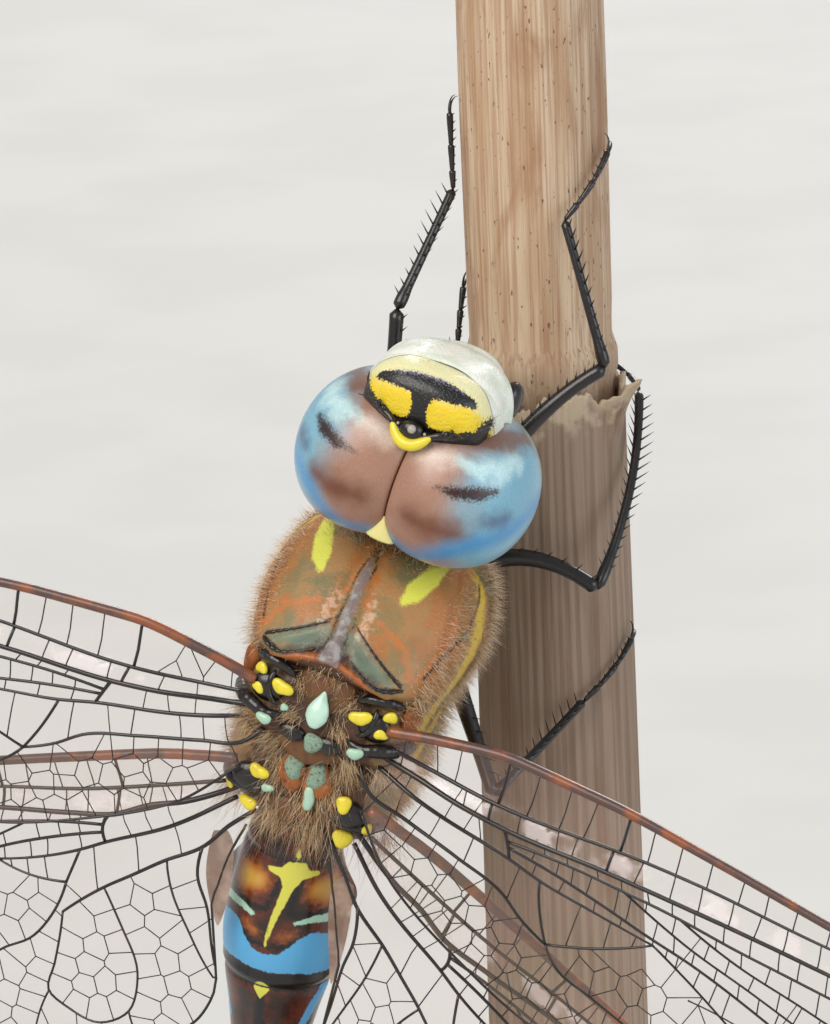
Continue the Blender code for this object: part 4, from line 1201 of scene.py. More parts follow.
@dataclass
class Trunk:
    """Neck, first part of the thorax and thorax as one skin, with its plates and hair.

    A section is a distance back, the top, the bottom, the half width, the widest height and how square
    it is. Marks on top lie on a chart of |x| and y, and those on the flank on one of y and z; each point
    of a stroke ends with its half width. What stands on the top is placed by x, y and a height over it.
    """
    place: Placement
    sections: tuple[tuple[float, ...], ...] = (
        (-6.9, -3.9, -5.0, 0.75, -4.45, 1.0), (-6.2, -3.85, -5.2, 0.9, -4.5, 1.0),
        (-5.6, -3.6, -5.6, 1.35, -4.6, 1.0), (-5.35, -3.4, -6.1, 1.95, -4.8, 1.0),
        (-5.2, -3.5, -6.3, 2.0, -5.0, 0.95), (-4.85, -2.8, -6.9, 2.75, -4.9, 0.9),
        (-3.9, -1.55, -7.7, 3.6, -4.5, 0.85), (-2.4, -0.2, -8.1, 3.95, -4.0, 0.85),
        (-1.2, 0.45, -8.2, 3.75, -3.7, 0.75), (-0.5, -0.35, -8.2, 3.5, -3.5, 0.6),
        (0.5, -0.25, -8.1, 3.3, -3.4, 0.5), (1.6, -0.1, -7.95, 3.2, -3.4, 0.48),
        (2.4, -0.9, -7.8, 3.2, -3.4, 0.48), (3.5, -0.75, -7.4, 3.2, -3.4, 0.48),
        (4.6, -1.05, -6.6, 2.9, -3.4, 0.55), (5.3, -1.6, -5.7, 2.4, -3.4, 0.75),
        (5.6, -2.1, -5.1, 1.85, -3.4, 0.95))
    coat: float = 0.04
    skew: float = 0.05
    hair_count: int = 19000
    top_marks: tuple[tuple[str, tuple[Rows, ...]], ...] = (
        ("lemon", (((2.3, 4.85, 0.14), (2.05, 4.55, 0.32), (1.8, 4.2, 0.34), (1.6, 3.9, 0.16)),)),
        ("teal", (((0.55, 2.3, 0.32), (1.2, 1.9, 0.28), (2.1, 1.45, 0.12)),)),
        ("sheen", (((0.62, 3.5, 0.05), (0.75, 3.0, 0.14), (0.7, 2.6, 0.05)),)),
        ("basin", (((0.0, 0.7, 1.9), (0.0, -4.6, 2.4)),)),
        ("rust", (((0.35, 4.7, 0.2), (0.5, 3.4, 0.3), (0.7, 2.6, 0.3), (2.4, 2.6, 0.2)),
                ((2.7, 4.9, 0.6), (3.2, 3.4, 0.7), (3.3, 1.6, 0.5)))),
        ("orange", (
                ((0.35, 4.4, 0.03), (0.4, 3.6, 0.05), (0.8, 3.2, 0.06), (1.25, 3.1, 0.06), (1.8, 2.8, 0.07),
                    (2.6, 2.4, 0.06)),
                ((0.8, 3.2, 0.05), (0.65, 2.75, 0.05)),
                ((2.2, 2.62, 0.04), (2.5, 2.1, 0.07), (2.7, 1.7, 0.08)),
                ((3.35, 3.6, 0.03), (3.3, 2.7, 0.07), (3.0, 1.9, 0.08), (2.85, 1.6, 0.06)),
                ((2.5, 0.75, 0.08), (1.7, 1.0, 0.14), (1.1, 1.36, 0.14), (0.5, 1.56, 0.1), (0.0, 1.6, 0.1)))),
        ("black", (((0.32, 2.85, 0.02), (1.5, 2.1, 0.03), (2.55, 1.5, 0.05)),
                ((2.6, 1.32, 0.06), (1.8, 1.22, 0.05), (1.2, 1.48, 0.03), (0.45, 1.9, 0.02)))))
    stripes: tuple[Rows, ...] = (
        ((4.6, -4.4, 0.1), (4.0, -4.15, 0.3), (3.1, -3.65, 0.4), (1.55, -2.85, 0.42), (0.5, -2.4, 0.42),
            (-0.5, -2.0, 0.36)),
        ((2.6, -6.2, 0.5), (1.2, -5.4, 0.6), (-0.6, -3.9, 0.5), (-1.8, -2.7, 0.35)),
        ((0.0, -7.0, 0.5), (-1.6, -5.9, 0.65), (-3.2, -4.6, 0.6), (-4.4, -3.4, 0.4)))
    seams: tuple[Rows, ...] = (
        ((4.4, -4.3, 0.05), (3.3, -3.0, 0.05), (2.78, -2.1, 0.05), (1.75, -0.9, 0.05)),
        ((1.4, -7.2, 0.05), (-0.2, -5.6, 0.05), (-2.0, -3.6, 0.05)))
    ridges: tuple[Rows, ...] = (
        ((-2.68, 1.42, 0.0, 0.06), (-1.7, 2.05, -0.03, 0.04), (-0.6, 2.68, -0.05, 0.02)),
        ((-2.7, 1.32, 0.0, 0.08), (-1.95, 1.2, -0.01, 0.065), (-1.25, 1.5, -0.02, 0.045),
            (-0.62, 1.85, -0.02, 0.02)),
        ((2.5, 1.42, 0.0, 0.06), (1.45, 2.1, -0.03, 0.04), (0.3, 2.8, -0.05, 0.02)),
        ((2.55, 1.36, 0.0, 0.08), (1.65, 1.25, -0.01, 0.065), (1.15, 1.5, -0.02, 0.045),
            (0.6, 1.85, -0.02, 0.02)))
    paired_ridges: tuple[Rows, ...] = (
        ((2.75, 0.55, 0.1, 0.12), (2.1, 0.72, 0.18, 0.2), (1.5, 0.6, 0.18, 0.18), (1.15, 0.35, 0.1, 0.1)),
        ((1.9, 0.35, 0.2, 0.1), (1.95, 0.0, 0.28, 0.12), (1.85, -0.5, 0.26, 0.12), (1.5, -0.75, 0.2, 0.08)),
        ((3.2, -0.9, 0.2, 0.22), (2.4, -1.05, 0.22, 0.28), (1.7, -1.15, 0.16, 0.24), (1.25, -1.0, 0.1, 0.1)),
        ((3.0, -4.2, 0.2, 0.14), (2.3, -4.35, 0.2, 0.2), (1.6, -4.3, 0.16, 0.16), (1.2, -4.1, 0.1, 0.1)))
    knuckles: tuple[tuple[float, float, float, Point], ...] = (
        (-2.0, -0.35, 0.05, (0.62, 0.52, 0.28)), (-1.9, -3.9, 0.05, (0.6, 0.5, 0.26)),
        (-0.7, -1.5, 0.0, (0.5, 0.3, 0.2)))
    plates: tuple[tuple[str, Finish, tuple[tuple[float, float, float, Point, float], ...]], ...] = (
        ("yellow_plates", YELLOW_PLATE, (
            (-2.42, 0.2, 0.26, (0.24, 0.22, 0.12), 0), (-1.48, -0.1, 0.26, (0.44, 0.24, 0.15), -12),
            (-2.3, -0.42, 0.3, (0.26, 0.19, 0.14), -10), (2.42, 0.2, 0.26, (0.24, 0.22, 0.12), 0),
            (1.48, -0.1, 0.26, (0.44, 0.24, 0.15), 12), (2.3, -0.42, 0.3, (0.26, 0.19, 0.14), 10),
            (-1.51, -3.5, 0.28, (0.36, 0.24, 0.16), -14), (-1.7, -5.0, 0.34, (0.36, 0.24, 0.16), 0),
            (-2.55, -4.5, 0.34, (0.28, 0.14, 0.12), -30), (1.7, -3.5, 0.28, (0.26, 0.34, 0.16), 20),
            (1.85, -5.0, 0.34, (0.34, 0.36, 0.16), 20), (2.6, -4.3, 0.3, (0.2, 0.22, 0.12), 0))),
        ("mint_plates", MINT_PLATE, (
            (-1.73, -1.3, 0.36, (0.3, 0.18, 0.14), 0), (1.7, -1.3, 0.36, (0.3, 0.2, 0.14), 20),
            (-1.08, -4.0, 0.24, (0.24, 0.14, 0.1), 20),
            (0.45, -3.8, 0.2, (0.2, 0.42, 0.14), 10), (-1.2, -0.75, 0.16, (0.14, 0.14, 0.1), 0))),
        ("shields", plate("trunk_shield", "#6E4826", "#2E1C12", 0.6, 0.1, 0.5, 0.9), (
            (0.0, 0.25, -0.1, (0.95, 0.85, 0.32), 0), (0.0, -1.9, -0.1, (1.3, 0.6, 0.26), 0),
            (0.0, -4.6, -0.1, (1.1, 0.5, 0.3), 0))),
        ("felt_pads", plate("felt_pad", "#86A08C", "#4A3A26", 0.85, 0.0, 0.09, 0.9), (
            (-0.4, -2.9, 0.12, (0.36, 0.5, 0.26), 0), (0.48, -2.95, 0.12, (0.36, 0.52, 0.26), 0),
            (0.15, -1.55, 0.16, (0.32, 0.36, 0.22), 0))),
        ("rust_pads", plate("rust_pad", "#9A5A2C", "#4A2A16", 0.8, 0.0, 0.3, 0.9), (
            (-0.45, -3.15, -0.02, (0.5, 0.72, 0.26), 0), (0.55, -3.2, -0.02, (0.52, 0.76, 0.26), 0),
            (-2.95, 0.2, 0.0, (0.34, 0.62, 0.3), 0), (2.95, 0.1, 0.0, (0.34, 0.66, 0.3), 0))))
    tufts: tuple[tuple[float, float, float, int, float, Point], ...] = (
        (-0.8, 0.3, 0.22, 170, 0.45, (0.2, -0.5, 0.6)), (0.8, 0.3, 0.22, 170, 0.45, (-0.2, -0.5, 0.6)),
        (0.0, 0.7, 0.4, 120, 0.35, (0.0, -0.6, 0.6)), (-0.9, -2.8, 0.2, 130, 0.6, (0.3, -0.7, 0.6)),
        (1.0, -2.8, 0.2, 130, 0.6, (-0.3, -0.7, 0.6)), (0.05, -2.9, 0.08, 60, 0.5, (0.0, -0.7, 0.6)),
        (-0.8, -0.9, 0.2, 90, 0.7, (-0.6, -0.6, 0.6)), (0.8, -0.9, 0.2, 90, 0.7, (0.6, -0.6, 0.6)),
        (-1.2, -2.2, 0.28, 150, 0.9, (-0.7, -0.5, 0.5)), (1.3, -2.2, 0.28, 130, 0.9, (0.6, -0.6, 0.5)),
        (-1.0, -3.3, 0.22, 110, 0.9, (-0.4, -0.9, 0.5)), (1.1, -3.5, 0.25, 130, 0.9, (0.5, -0.8, 0.4)),
        (0.0, -3.9, 0.5, 130, 1.0, (0.0, -1.0, 0.5)), (-0.9, -4.9, 0.35, 170, 1.2, (-0.2, -1.0, 0.35)),
        (0.6, -4.9, 0.5, 200, 1.2, (0.2, -1.0, 0.35)), (-2.5, -1.8, 0.25, 110, 0.9, (-0.5, -0.5, 0.6)),
        (2.5, -2.2, 0.25, 90, 0.8, (0.5, -0.6, 0.6)), (-2.7, -5.2, 0.3, 140, 1.1, (-0.4, -0.8, 0.5)),
        (2.7, -5.2, 0.3, 140, 1.1, (0.4, -0.8, 0.5)), (-2.9, 0.9, 0.2, 60, 0.6, (-0.5, 0.3, 0.7)),
        (2.9, 0.4, 0.25, 110, 0.8, (0.6, 0.2, 0.6)))

    def add(self, name: str, shell: Shell, finish: Finish, *nodes: str, uv_name: str = "lay") -> None:
        """Adds a piece worked out in the body frame."""
        add_piece(name, self.place.carried(shell), finish, nodes, uv_name)

    @staticmethod
    def keel_half(y: Array) -> Array:
        """The keel's half width: a line in front, wide in the middle, wider before the wings."""
        return 0.03 + 0.2 * smooth_step(4.9, 4.1, y) + 0.2 * smooth_step(2.4, 1.6, y)

    def raise_relief(self, x: Array, y: Array, z: Array) -> Array:
        """How far the top stands above the plain loft: the keel, the crest before the wings, sutures."""
        x = x + self.skew * y
        out = np.abs(x)
        keel_half = self.keel_half(y)
        along = smooth_step(5.1, 4.6, y) * smooth_step(1.45, 1.75, y)
        keel = 0.2 * np.exp(-(x / keel_half) ** 4) * along
        beside = -0.1 * (bell(x, keel_half + 0.22, 0.16) + bell(x, -keel_half - 0.22, 0.16)) * along
        crest_line = 1.6 - 0.16 * x ** 2
        crest = 0.16 * bell(y, crest_line, 0.14) * smooth_step(2.7, 2.2, out)
        basin = -0.26 * bell(y, crest_line - 0.65, 0.35) * smooth_step(2.5, 1.8, out)
        notch = 0.14 * bell(y, 2.75 - 0.62 * out, 0.22) * smooth_step(0.4, 0.9, out)
        notch = notch * smooth_step(2.5, 2.1, out)
        fold = -0.12 * bell(out, 3.35 - 0.12 * (y - 2.5) ** 2, 0.12) * smooth_step(0.5, 1.5, y)
        return smooth_step(-4.5, -2.5, z) * (keel + beside + crest + (basin - notch)) + fold

    def on_flank(self, points: Array, strokes: Sequence[Rows]) -> Array:
        """How far places lie outside strokes on the flanks, where |x| is over 2.2."""
        x, y, z = points.T
        return outside_all(np.stack((y, z), axis=1), strokes) + np.where(np.abs(x + self.skew * y) > 2.2, 0.0,
            5.0)

    def paint(self, points: Array) -> dict[str, Array]:
        """Distances to each painted mark, from places in the body frame."""
        x, y, z = points.T
        out = np.abs(x + self.skew * y)
        chart = np.stack((out, y), axis=1)
        above = np.where(z > -4.6, 0.0, 5.0)
        marks = {name: outside_all(chart, strokes) + above for name, strokes in self.top_marks}
        keel_half = self.keel_half(y)
        keel_run = np.where((y > 1.5) & (y < 4.9), 0.0, 5.0) + above
        edge = np.abs(out - keel_half - 0.03) - 0.04 + keel_run
        marks["black"] = np.minimum.reduce([marks["black"], edge, self.on_flank(points, self.seams)])
        return marks | {"lilac": out - keel_half + 0.05 + keel_run,
            "ochre": self.on_flank(points, self.stripes)}

    def shape_skin(self) -> Shell:
        """Rings along the body: x = half width * swell(cos a), and z from the ring's widest height up
        to its top by swell(sin a) or down to its bottom by |sin a|, less the coat's depth."""
        back = np.linspace(self.sections[0][0], self.sections[-1][0], 240)[:, None]
        angle = ring_angles(260)[None, :]
        columns = (curve_through(self.sections, back, column) for column in range(1, 6))
        top, bottom, half, widest, square = columns
        rise = np.abs(np.sin(angle))
        x = swell(np.cos(angle), square) * (half - self.coat)
        y = -back + 0.0 * angle
        z = widest + np.where(np.sin(angle) >= 0, (top - widest - self.coat) * rise ** square,
                              -(widest - bottom - self.coat) * rise)
        z = z + self.raise_relief(x, y, z)
        shell = grid_shell(np.stack((x, y, z), axis=-1), around=True, caps=True)
        shell.marks = self.paint(shell.points)
        return shell

    def add_hair(self, skin: Shell) -> None:
        """Hair that leans back along the body: long at the sides and behind, thin on the keel's fields."""
        def wanted(places: Array) -> Array:
            """The chance of a hair."""
            x, y, z = places.T
            edge, under = smooth_step(2.5, 3.4, np.abs(x)), smooth_step(-3.2, -4.6, z)
            basin = smooth_step(1.6, 1.0, y) * smooth_step(-5.2, -4.0, y) * smooth_step(3.0, 2.6, np.abs(x))
            bare = smooth_step(0.3, 0.0, self.on_flank(places, self.stripes)) * smooth_step(-4.9, -4.5, z)
            most = np.maximum.reduce([edge, smooth_step(4.5, 5.1, y), under])
            return np.clip(0.12 + 0.9 * most - 0.9 * basin, 0.03, 1.0) * (1 - 0.85 * bare)

        for number, seed in enumerate((11, 17), 1):
            places, outward, lay = scatter(skin, self.hair_count, wanted, seed)
            chance = np.random.default_rng(seed + 1)
            count = len(places)
            x, y, z = places.T
            long = np.maximum.reduce([smooth_step(2.4, 3.4, np.abs(x)), smooth_step(4.4, 5.0, y),
                smooth_step(-3.5, -5.0, z)])
            stripe = smooth_step(0.9, 0.2, self.on_flank(places, self.stripes)) * smooth_step(-5.2, -4.6, z)
            long = long * (1.0 - 0.6 * stripe)
            lengths = (0.14 + 0.5 * long) * (0.5 + 0.8 * chance.random(count))
            lean = np.array([0.0, -0.3, 0.05]) + 0.35 * chance.normal(size=(count, 3))
            directions = unit(outward + lean * (1.0 - 0.5 * long)[:, None])
            bends = (np.array([0.0, -0.15, 0.0]) + 0.12 * chance.normal(size=(count, 3))) * lengths[:, None]
            widths = 0.006 + 0.004 * chance.random(count)
            hair = hair_shell(places - 0.03 * outward, directions, lengths, widths, bends, lay,
                chance.random(count))
            self.add(f"trunk_hair_{number}", hair, BodyHair(), uv_name="OFBake")

    def over_top(self, x: float, y: float, over: float) -> Array:
        """The place on the plain top of the trunk above x and y in the body frame, raised by over.

        Above the widest height z = widest + (top - widest) * (1 - |x / half|^(2 / square))^(square / 2).
        """
        top, _, half, widest, square = (float(curve_through(self.sections, -y, column))
            for column in range(1, 6))
        share = max(0.0, 1.0 - min(1.0, abs(x) / half) ** (2.0 / square)) ** (0.5 * square)
        return np.array([x, y, widest + (top - widest) * share + over])

    def build_hinges(self) -> None:
        """Black knuckles and beaded ridges at the roots of the wings."""
        parts = []
        pairs = [tuple((sign * x, *rest) for x, *rest in row) for row in self.paired_ridges
            for sign in (-1, 1)]
        for row in (*self.ridges, *pairs):
            path = polyline([tuple(self.over_top(x, y, over)) for x, y, over, _ in row], 0.06)
            steps = np.arange(len(path))
            radii = np.interp(np.linspace(0, 1, len(path)), np.linspace(0, 1, len(row)),
                [each[3] for each in row])
            beads = 1.0 + (0.25 if row[0][3] < 0.09 else 0.04) * np.sin(steps * 1.4)
            ends = np.sqrt(np.clip(np.minimum(steps, steps[::-1]) / 3.0, 0.15, 1.0))
            parts.append(one_tube(path, radii * beads * ends, (0.0, 0.2, 1.0), 12))
        parts += [blob_shell(tuple(self.over_top(x, y, over)), size) for x, y, over,
            size in both_sides(self.knuckles)]
        self.add("wing_hinges", Shell.join(parts), BLACK_CHITIN)

    def build_plates(self) -> None:
        """Yellow and mint plates between the hinges, the shields of both segments, the felted pads
        behind them and a mint kite: pebbles with a wavy outline, laid along the slope of the top."""
        for title, finish, plates in self.plates:
            parts = []
            for x, y, over, size, turn in plates:
                pebble = blob_shell((0.0, 0.0, 0.0), size, 20, 28, 0.9)
                around = np.arctan2(pebble.points[:, 1], pebble.points[:, 0])
                pebble.points[:, :2] *= (1.0 + 0.1 * np.sin(3 * around + 4.0 * x)
                    + 0.06 * np.sin(2 * around + 7.0 * y))[:, None]
                slope = np.arctan2(self.over_top(x + 0.2, y, 0.0)[2] - self.over_top(x - 0.2, y, 0.0)[2], 0.4)
                turned = turn_about(1, -float(np.degrees(slope))) @ turn_about(2, turn)
                parts.append(Shell(pebble.points @ turned.T + self.over_top(x, y, over), pebble.faces))
            self.add(title, Shell.join(parts), finish)
        down = np.linspace(0.5, -1.0, 24)
        ridge = np.array([self.over_top(0.0, y, 0.18 + 0.12 * smooth_step(0.5, -0.5, y)) for y in down])
        half = 0.02 + 0.38 * smooth_step(0.5, -0.45, down) * np.sqrt(np.clip((1.02 + down) / 0.4, 0.03, 1.0))
        self.add("mint_kite", one_tube(ridge, half, (0.0, 0.2, 1.0), 24, 0.55),
            plate("mint_kite", "#BFE2D0", "#86B49A"))

    def build_tufts(self, skin: Shell) -> None:
        """Tufts of tan hair between the plates and over the root of the abdomen."""
        chance = np.random.default_rng(31)
        near = skin.points[: len(skin.lay)]
        roots, ways, longs, lays = [], [], [], []
        for x, y, spread, count, length, way in self.tufts:
            for _ in range(count):
                at = self.over_top(x + spread * chance.normal(), y + spread * chance.normal(), -0.02)
                roots.append(at)
                ways.append(np.array(way) + 0.38 * chance.normal(size=3))
                longs.append(length * (0.6 + 0.6 * chance.random()))
                lays.append(skin.lay[((near - at) ** 2).sum(axis=1).argmin()])
        roots, ways, longs, lays = np.array(roots), unit(np.array(ways)), np.array(longs), np.array(lays)
        bends = 0.25 * chance.normal(size=roots.shape) * longs[:, None]
        bends += np.array([0.0, -0.3, -0.2]) * longs[:, None]
        widths = 0.007 + 0.004 * chance.random(len(roots))
        hair = hair_shell(roots, ways, longs, widths, bends, lays, chance.random(len(roots)))
        self.add("trunk_tufts", hair, BodyHair("#E6CFA6", "#A8743A"), uv_name="OFBake")

    def build(self) -> None:
        """Makes the skin, its hair, and the field between the wings."""
        skin = self.shape_skin()
        self.add("trunk_skin", skin, TrunkCuticle(), "thorax", "prothorax")
        self.add_hair(skin)
        self.build_hinges()
        self.build_plates()
        self.build_tufts(skin)


# --- abdomen ---------------------------------------------------------------------------
@dataclass(frozen=True)
class BandedCuticle(Finish):
    """Glossy chitin of the abdomen: rust and brown ground, black rings, yellow and mint bars and
    sky-blue spots that look powdery beside the gloss."""
    rust: str = "#5A220E"
    brown: str = "#24140C"
    orange: str = "#A2571A"
    gold: str = "#C89C44"
    black: str = "#0A090A"
    blue: str = "#55A8DA"
    marks: tuple[tuple[str, str, float, float, float, float], ...] = (
        ("mint", "#A8D2BC", 0.07, 0.02, 0.1, 1.0), ("yellow", "#D2CE50", 0.06, 0.015, 0.2, 1.0),
        ("line", "#0A090A", 0.05, 0.02, 0.1, 1.0))

    def build(self) -> Material:
        """Ground clouds, then each painted colour in turn; the blue is rougher than the rest."""
        recipe = Recipe("banded_cuticle")
        cloud = recipe.level(recipe.grain(0.8, 4.0), 0.35, 0.65)
        skin = recipe.coats(recipe.blend(cloud, self.brown, self.rust),
            ("blot", self.orange, 0.5, 0.1, 0.2, 1.0))
        skin = recipe.blend(recipe.level(recipe.mark("blot"), -0.5, 0.0, 0.9, 0.0), skin, self.gold)
        skin = recipe.coats(skin, ("black", self.black, 0.16, 0.06, 0.15, 1.0))
        blue = recipe.painted("blue", 0.08, 0.03, 0.12)
        skin = recipe.coats(recipe.blend(blue, skin, self.blue), *self.marks)
        roughness = recipe.level(blue, 0.0, 1.0, 0.26, 0.42)
        relief = recipe.relief(recipe.grain(0.07, 2.0), 0.01)
        return recipe.surface(skin, roughness, relief, Coat_Weight=0.3, Coat_Roughness=0.15)


@dataclass
class Abdomen:
    """Ten rings along a bent axis as one skin with a groove at each joint, and the claspers.

    A mark is a stroke of rows with the way round from the top line, the way along and the half width.
    The way along is measured in millimetres from a joint, or on rings three to ten as a share of the ring.
    """
    place: Placement
    ring_lengths: tuple[float, ...] = (1.2, 5.1, 6.4, 5.9, 5.6, 5.1, 4.7, 3.5, 2.6, 1.8)
    start: Point = (-0.3, -5.3, -2.95)
    outline: tuple[Flat, ...] = (
        (0.0, 1.35), (1.2, 1.7), (3.0, 2.0), (4.8, 2.12), (6.3, 1.93), (8.0, 1.58), (10.0, 1.3), (14.0, 1.25),
        (24.0, 1.38), (35.0, 1.42), (39.0, 1.3), (41.5, 0.95))
    turn: Flat = (6.0, 11.0)
    twist: float = 0.65
    drop: Flat = (9.0, 4.0)
    step: float = 0.1
    front_marks: tuple[tuple[str, int, Rows], ...] = (
        ("yellow", 1, ((0.0, 0.48, 0.24), (0.9, 0.42, 0.08))),
        ("yellow", 1, ((0.0, 0.45, 0.5), (0.0, 1.0, 0.2), (0.0, 2.0, 0.13), (0.0, 3.35, 0.05))),
        ("yellow", 1, ((0.0, -0.6, 0.03), (0.0, -0.2, 0.09))),
        ("yellow", 2, ((0.0, 0.1, 0.3), (0.0, 0.5, 0.03))),
        ("mint", 1, ((0.8, 2.3, 0.08), (1.4, 2.15, 0.13), (2.2, 2.2, 0.16), (3.0, 2.5, 0.14))),
        ("blue", 2, ((0.0, -1.06, 0.36), (0.6, -1.12, 0.4), (1.7, -1.55, 0.85), (3.0, -1.3, 0.7))),
        ("blot", 1, ((1.15, 1.0, 0.5), (1.75, 1.1, 0.62))),
        ("blot", 1, ((0.5, 2.9, 0.12), (0.9, 2.75, 0.1))),
        ("black", 2, ((0.0, -0.3, 0.4), (3.6, -0.3, 0.36))),
        ("black", 2, ((0.0, -1.75, 0.1), (0.7, -1.8, 0.12), (1.5, -2.3, 0.14))),
        ("black", 1, ((0.35, 0.7, 0.1), (0.42, 1.9, 0.14), (0.9, 2.05, 0.14), (2.0, 1.9, 0.14))))
    ring_marks: tuple[tuple[str, range, Rows], ...] = (
        ("mint", range(3, 11), ((0.2, 0.42, 0.1), (0.75, 0.36, 0.05))),
        ("blue", range(3, 10), ((0.5, 0.8, 0.42), (1.0, 0.78, 0.34))),
        ("blue", range(3, 10), ((2.6, 0.04, 0.3), (2.1, 0.14, 0.28), (1.55, 0.3, 0.16))),
        ("blue", range(10, 11), ((0.35, 0.42, 0.4), (0.7, 0.42, 0.3))),
        ("black", range(3, 11), ((0.0, 0.0, 0.16), (0.0, 1.0, 0.3))))

    def axis(self, distances: Array) -> tuple[Array, Array, Array, Array]:
        """The middle line and its directions.

        The heading turns and drops evenly along the length, and the middle line is its running sum.

        Args:
            distances: rising distances from the root.

        Returns:
            The points, the headings, and the directions to the right and above.
        """
        share = np.clip(distances / sum(self.ring_lengths), 0.0, 1.0)
        turn, drop = (np.radians(first + (last - first) * share) for first, last in (self.turn, self.drop))
        heading = np.stack((np.sin(turn) * np.cos(drop), -np.cos(turn) * np.cos(drop), -np.sin(drop)), axis=1)
        steps = np.diff(distances)[:, None] * 0.5 * (heading[1:] + heading[:-1])
        points = np.array(self.start) + np.concatenate((np.zeros((1, 3)), np.cumsum(steps, axis=0)))
        right = unit(np.cross(heading, np.array([0.0, 0.0, 1.0])))
        return points, heading, right, np.cross(right, heading)

    def paint(self, around: Array, along: Array, half: Array) -> dict[str, Array]:
        """Distances to the painted marks, in a chart of width from the top line and length from the root.

        Args:
            around: signed distance round the ring from its top line.
            along: distance from the root.
            half: the ring's radius there.

        Returns:
            A distance for each place and mark; black also covers the belly and a band behind each ring.
        """
        around = np.abs(around + self.twist * smooth_step(4.7, 1.0, along))
        chart = np.stack((around, along), axis=1)
        joints = np.concatenate(([0.0], np.cumsum(self.ring_lengths)))
        strokes = [(name, [(x, joints[joint] + y, w) for x, y, w in rows])
                   for name, joint, rows in self.front_marks]
        strokes += [(name, [(x, joints[ring - 1] + y * self.ring_lengths[ring - 1], w) for x, y, w in rows])
                    for name, rings, rows in self.ring_marks for ring in rings]
        marks = {mark: outside_all(chart, [rows for name, rows in strokes if name == mark])
                 for mark in ("yellow", "mint", "blue", "blot", "black")}
        bands = [np.abs(along - joint) - 0.28 for joint in joints[3:]]
        belly = 2.2 - around / np.maximum(half, 0.1)
        marks["black"] = np.minimum.reduce([marks["black"], belly, *bands])
        return marks | {"line": np.minimum.reduce([np.abs(along - joint) - 0.05 for joint in joints[1:-1]])}

    def build_skin(self) -> None:
        """Rings square to the axis: half width by the outline, 0.94 of it in height, drawn in by a
        groove exp(-|d| / 0.12) at each joint, with side lobes on the second ring and a keel on top."""
        total = sum(self.ring_lengths)
        distances = np.linspace(0.0, total - 0.05, int(total / self.step))
        points, _, right, above = self.axis(distances)
        angle = ring_angles(112)[None, :]
        joints = np.cumsum(self.ring_lengths)[:-1]
        groove = sum(0.07 * np.exp(-np.abs(distances - joint) / 0.12) for joint in joints)
        lip = sum(0.035 * bell(distances, joint - 0.28, 0.16) for joint in joints)
        half = (curve_through(self.outline, distances) - groove + lip)[:, None]
        lobe = 0.5 * bell(distances, joints[0] + 1.75, 0.75)[:, None] * np.clip(1
            - np.abs(np.sin(angle) + 0.25) * 2.5, 0, 1)
        keel = 0.05 * bell(np.sin(angle), 1.0, 0.02) * smooth_step(joints[1], joints[1] + 1.0,
            distances)[:, None]
        end = np.sqrt(np.clip((total - distances) / 0.7, 0.02, 1.0))[:, None] ** 0.6
        wide = (half + lobe) * end * np.cos(angle)
        tall = (0.94 * (half * end) + keel) * np.sin(angle)
        grid = points[:, None] + wide[..., None] * right[:, None] + tall[..., None] * above[:, None]
        shell = grid_shell(grid, around=True, caps=True)
        from_top = np.arctan2(np.cos(angle), np.sin(angle)) * half
        every = 0.0 * from_top
        shell.marks = self.paint(*(np.concatenate((chart.ravel(), caps)) for chart, caps in (
            (from_top, (0.0, 0.0)), (distances[:, None] + every, (0.0, total)), (half + every, (1.0, 1.0)))))
        names = [f"abdomen_{number:02d}" for number in range(1, 11)]
        add_piece("abdomen_skin", self.place.carried(shell), BandedCuticle(), names)

    def build_clasper(self, word: str, side: float, length: float, half: float, lift: float,
                      node: str) -> None:
        """A blade along the last heading: half width half * (0.45 + 0.55 sin(pi s^1.4)), bowed outwards."""
        axis = self.axis(np.array([0.0, *np.cumsum(self.ring_lengths)]))
        points, heading, right, above = (each[-1] for each in axis)
        root = points + right * (0.5 * side) + above * lift - heading * 0.1
        share = np.linspace(0.0, 1.0, 40)
        bow = side * 0.32 * np.sin(np.pi * share)
        path = root + heading * (length * share)[:, None] + right * bow[:, None]
        width = half * (0.45
            + 0.55 * np.sin(np.pi * share ** 1.4)) * np.sqrt(np.clip((1.02 - share) / 0.08, 0.05, 1.0))
        blade = tube_shell(path[None], width[None], above, 20, 0.36)
        add_piece("clasper_" + word, self.place.carried(blade), BLACK_CHITIN, [node])

    def build(self) -> None:
        """Makes the skin, which stands for all ten rings, and the three claspers."""
        self.build_skin()
        for side in Side:
            self.build_clasper(side.word, side.value, 4.3, 0.52, 0.42, "cercus_" + side.word)
        self.build_clasper("lower", 0.0, 2.2, 0.5, -0.45, "epiproct")


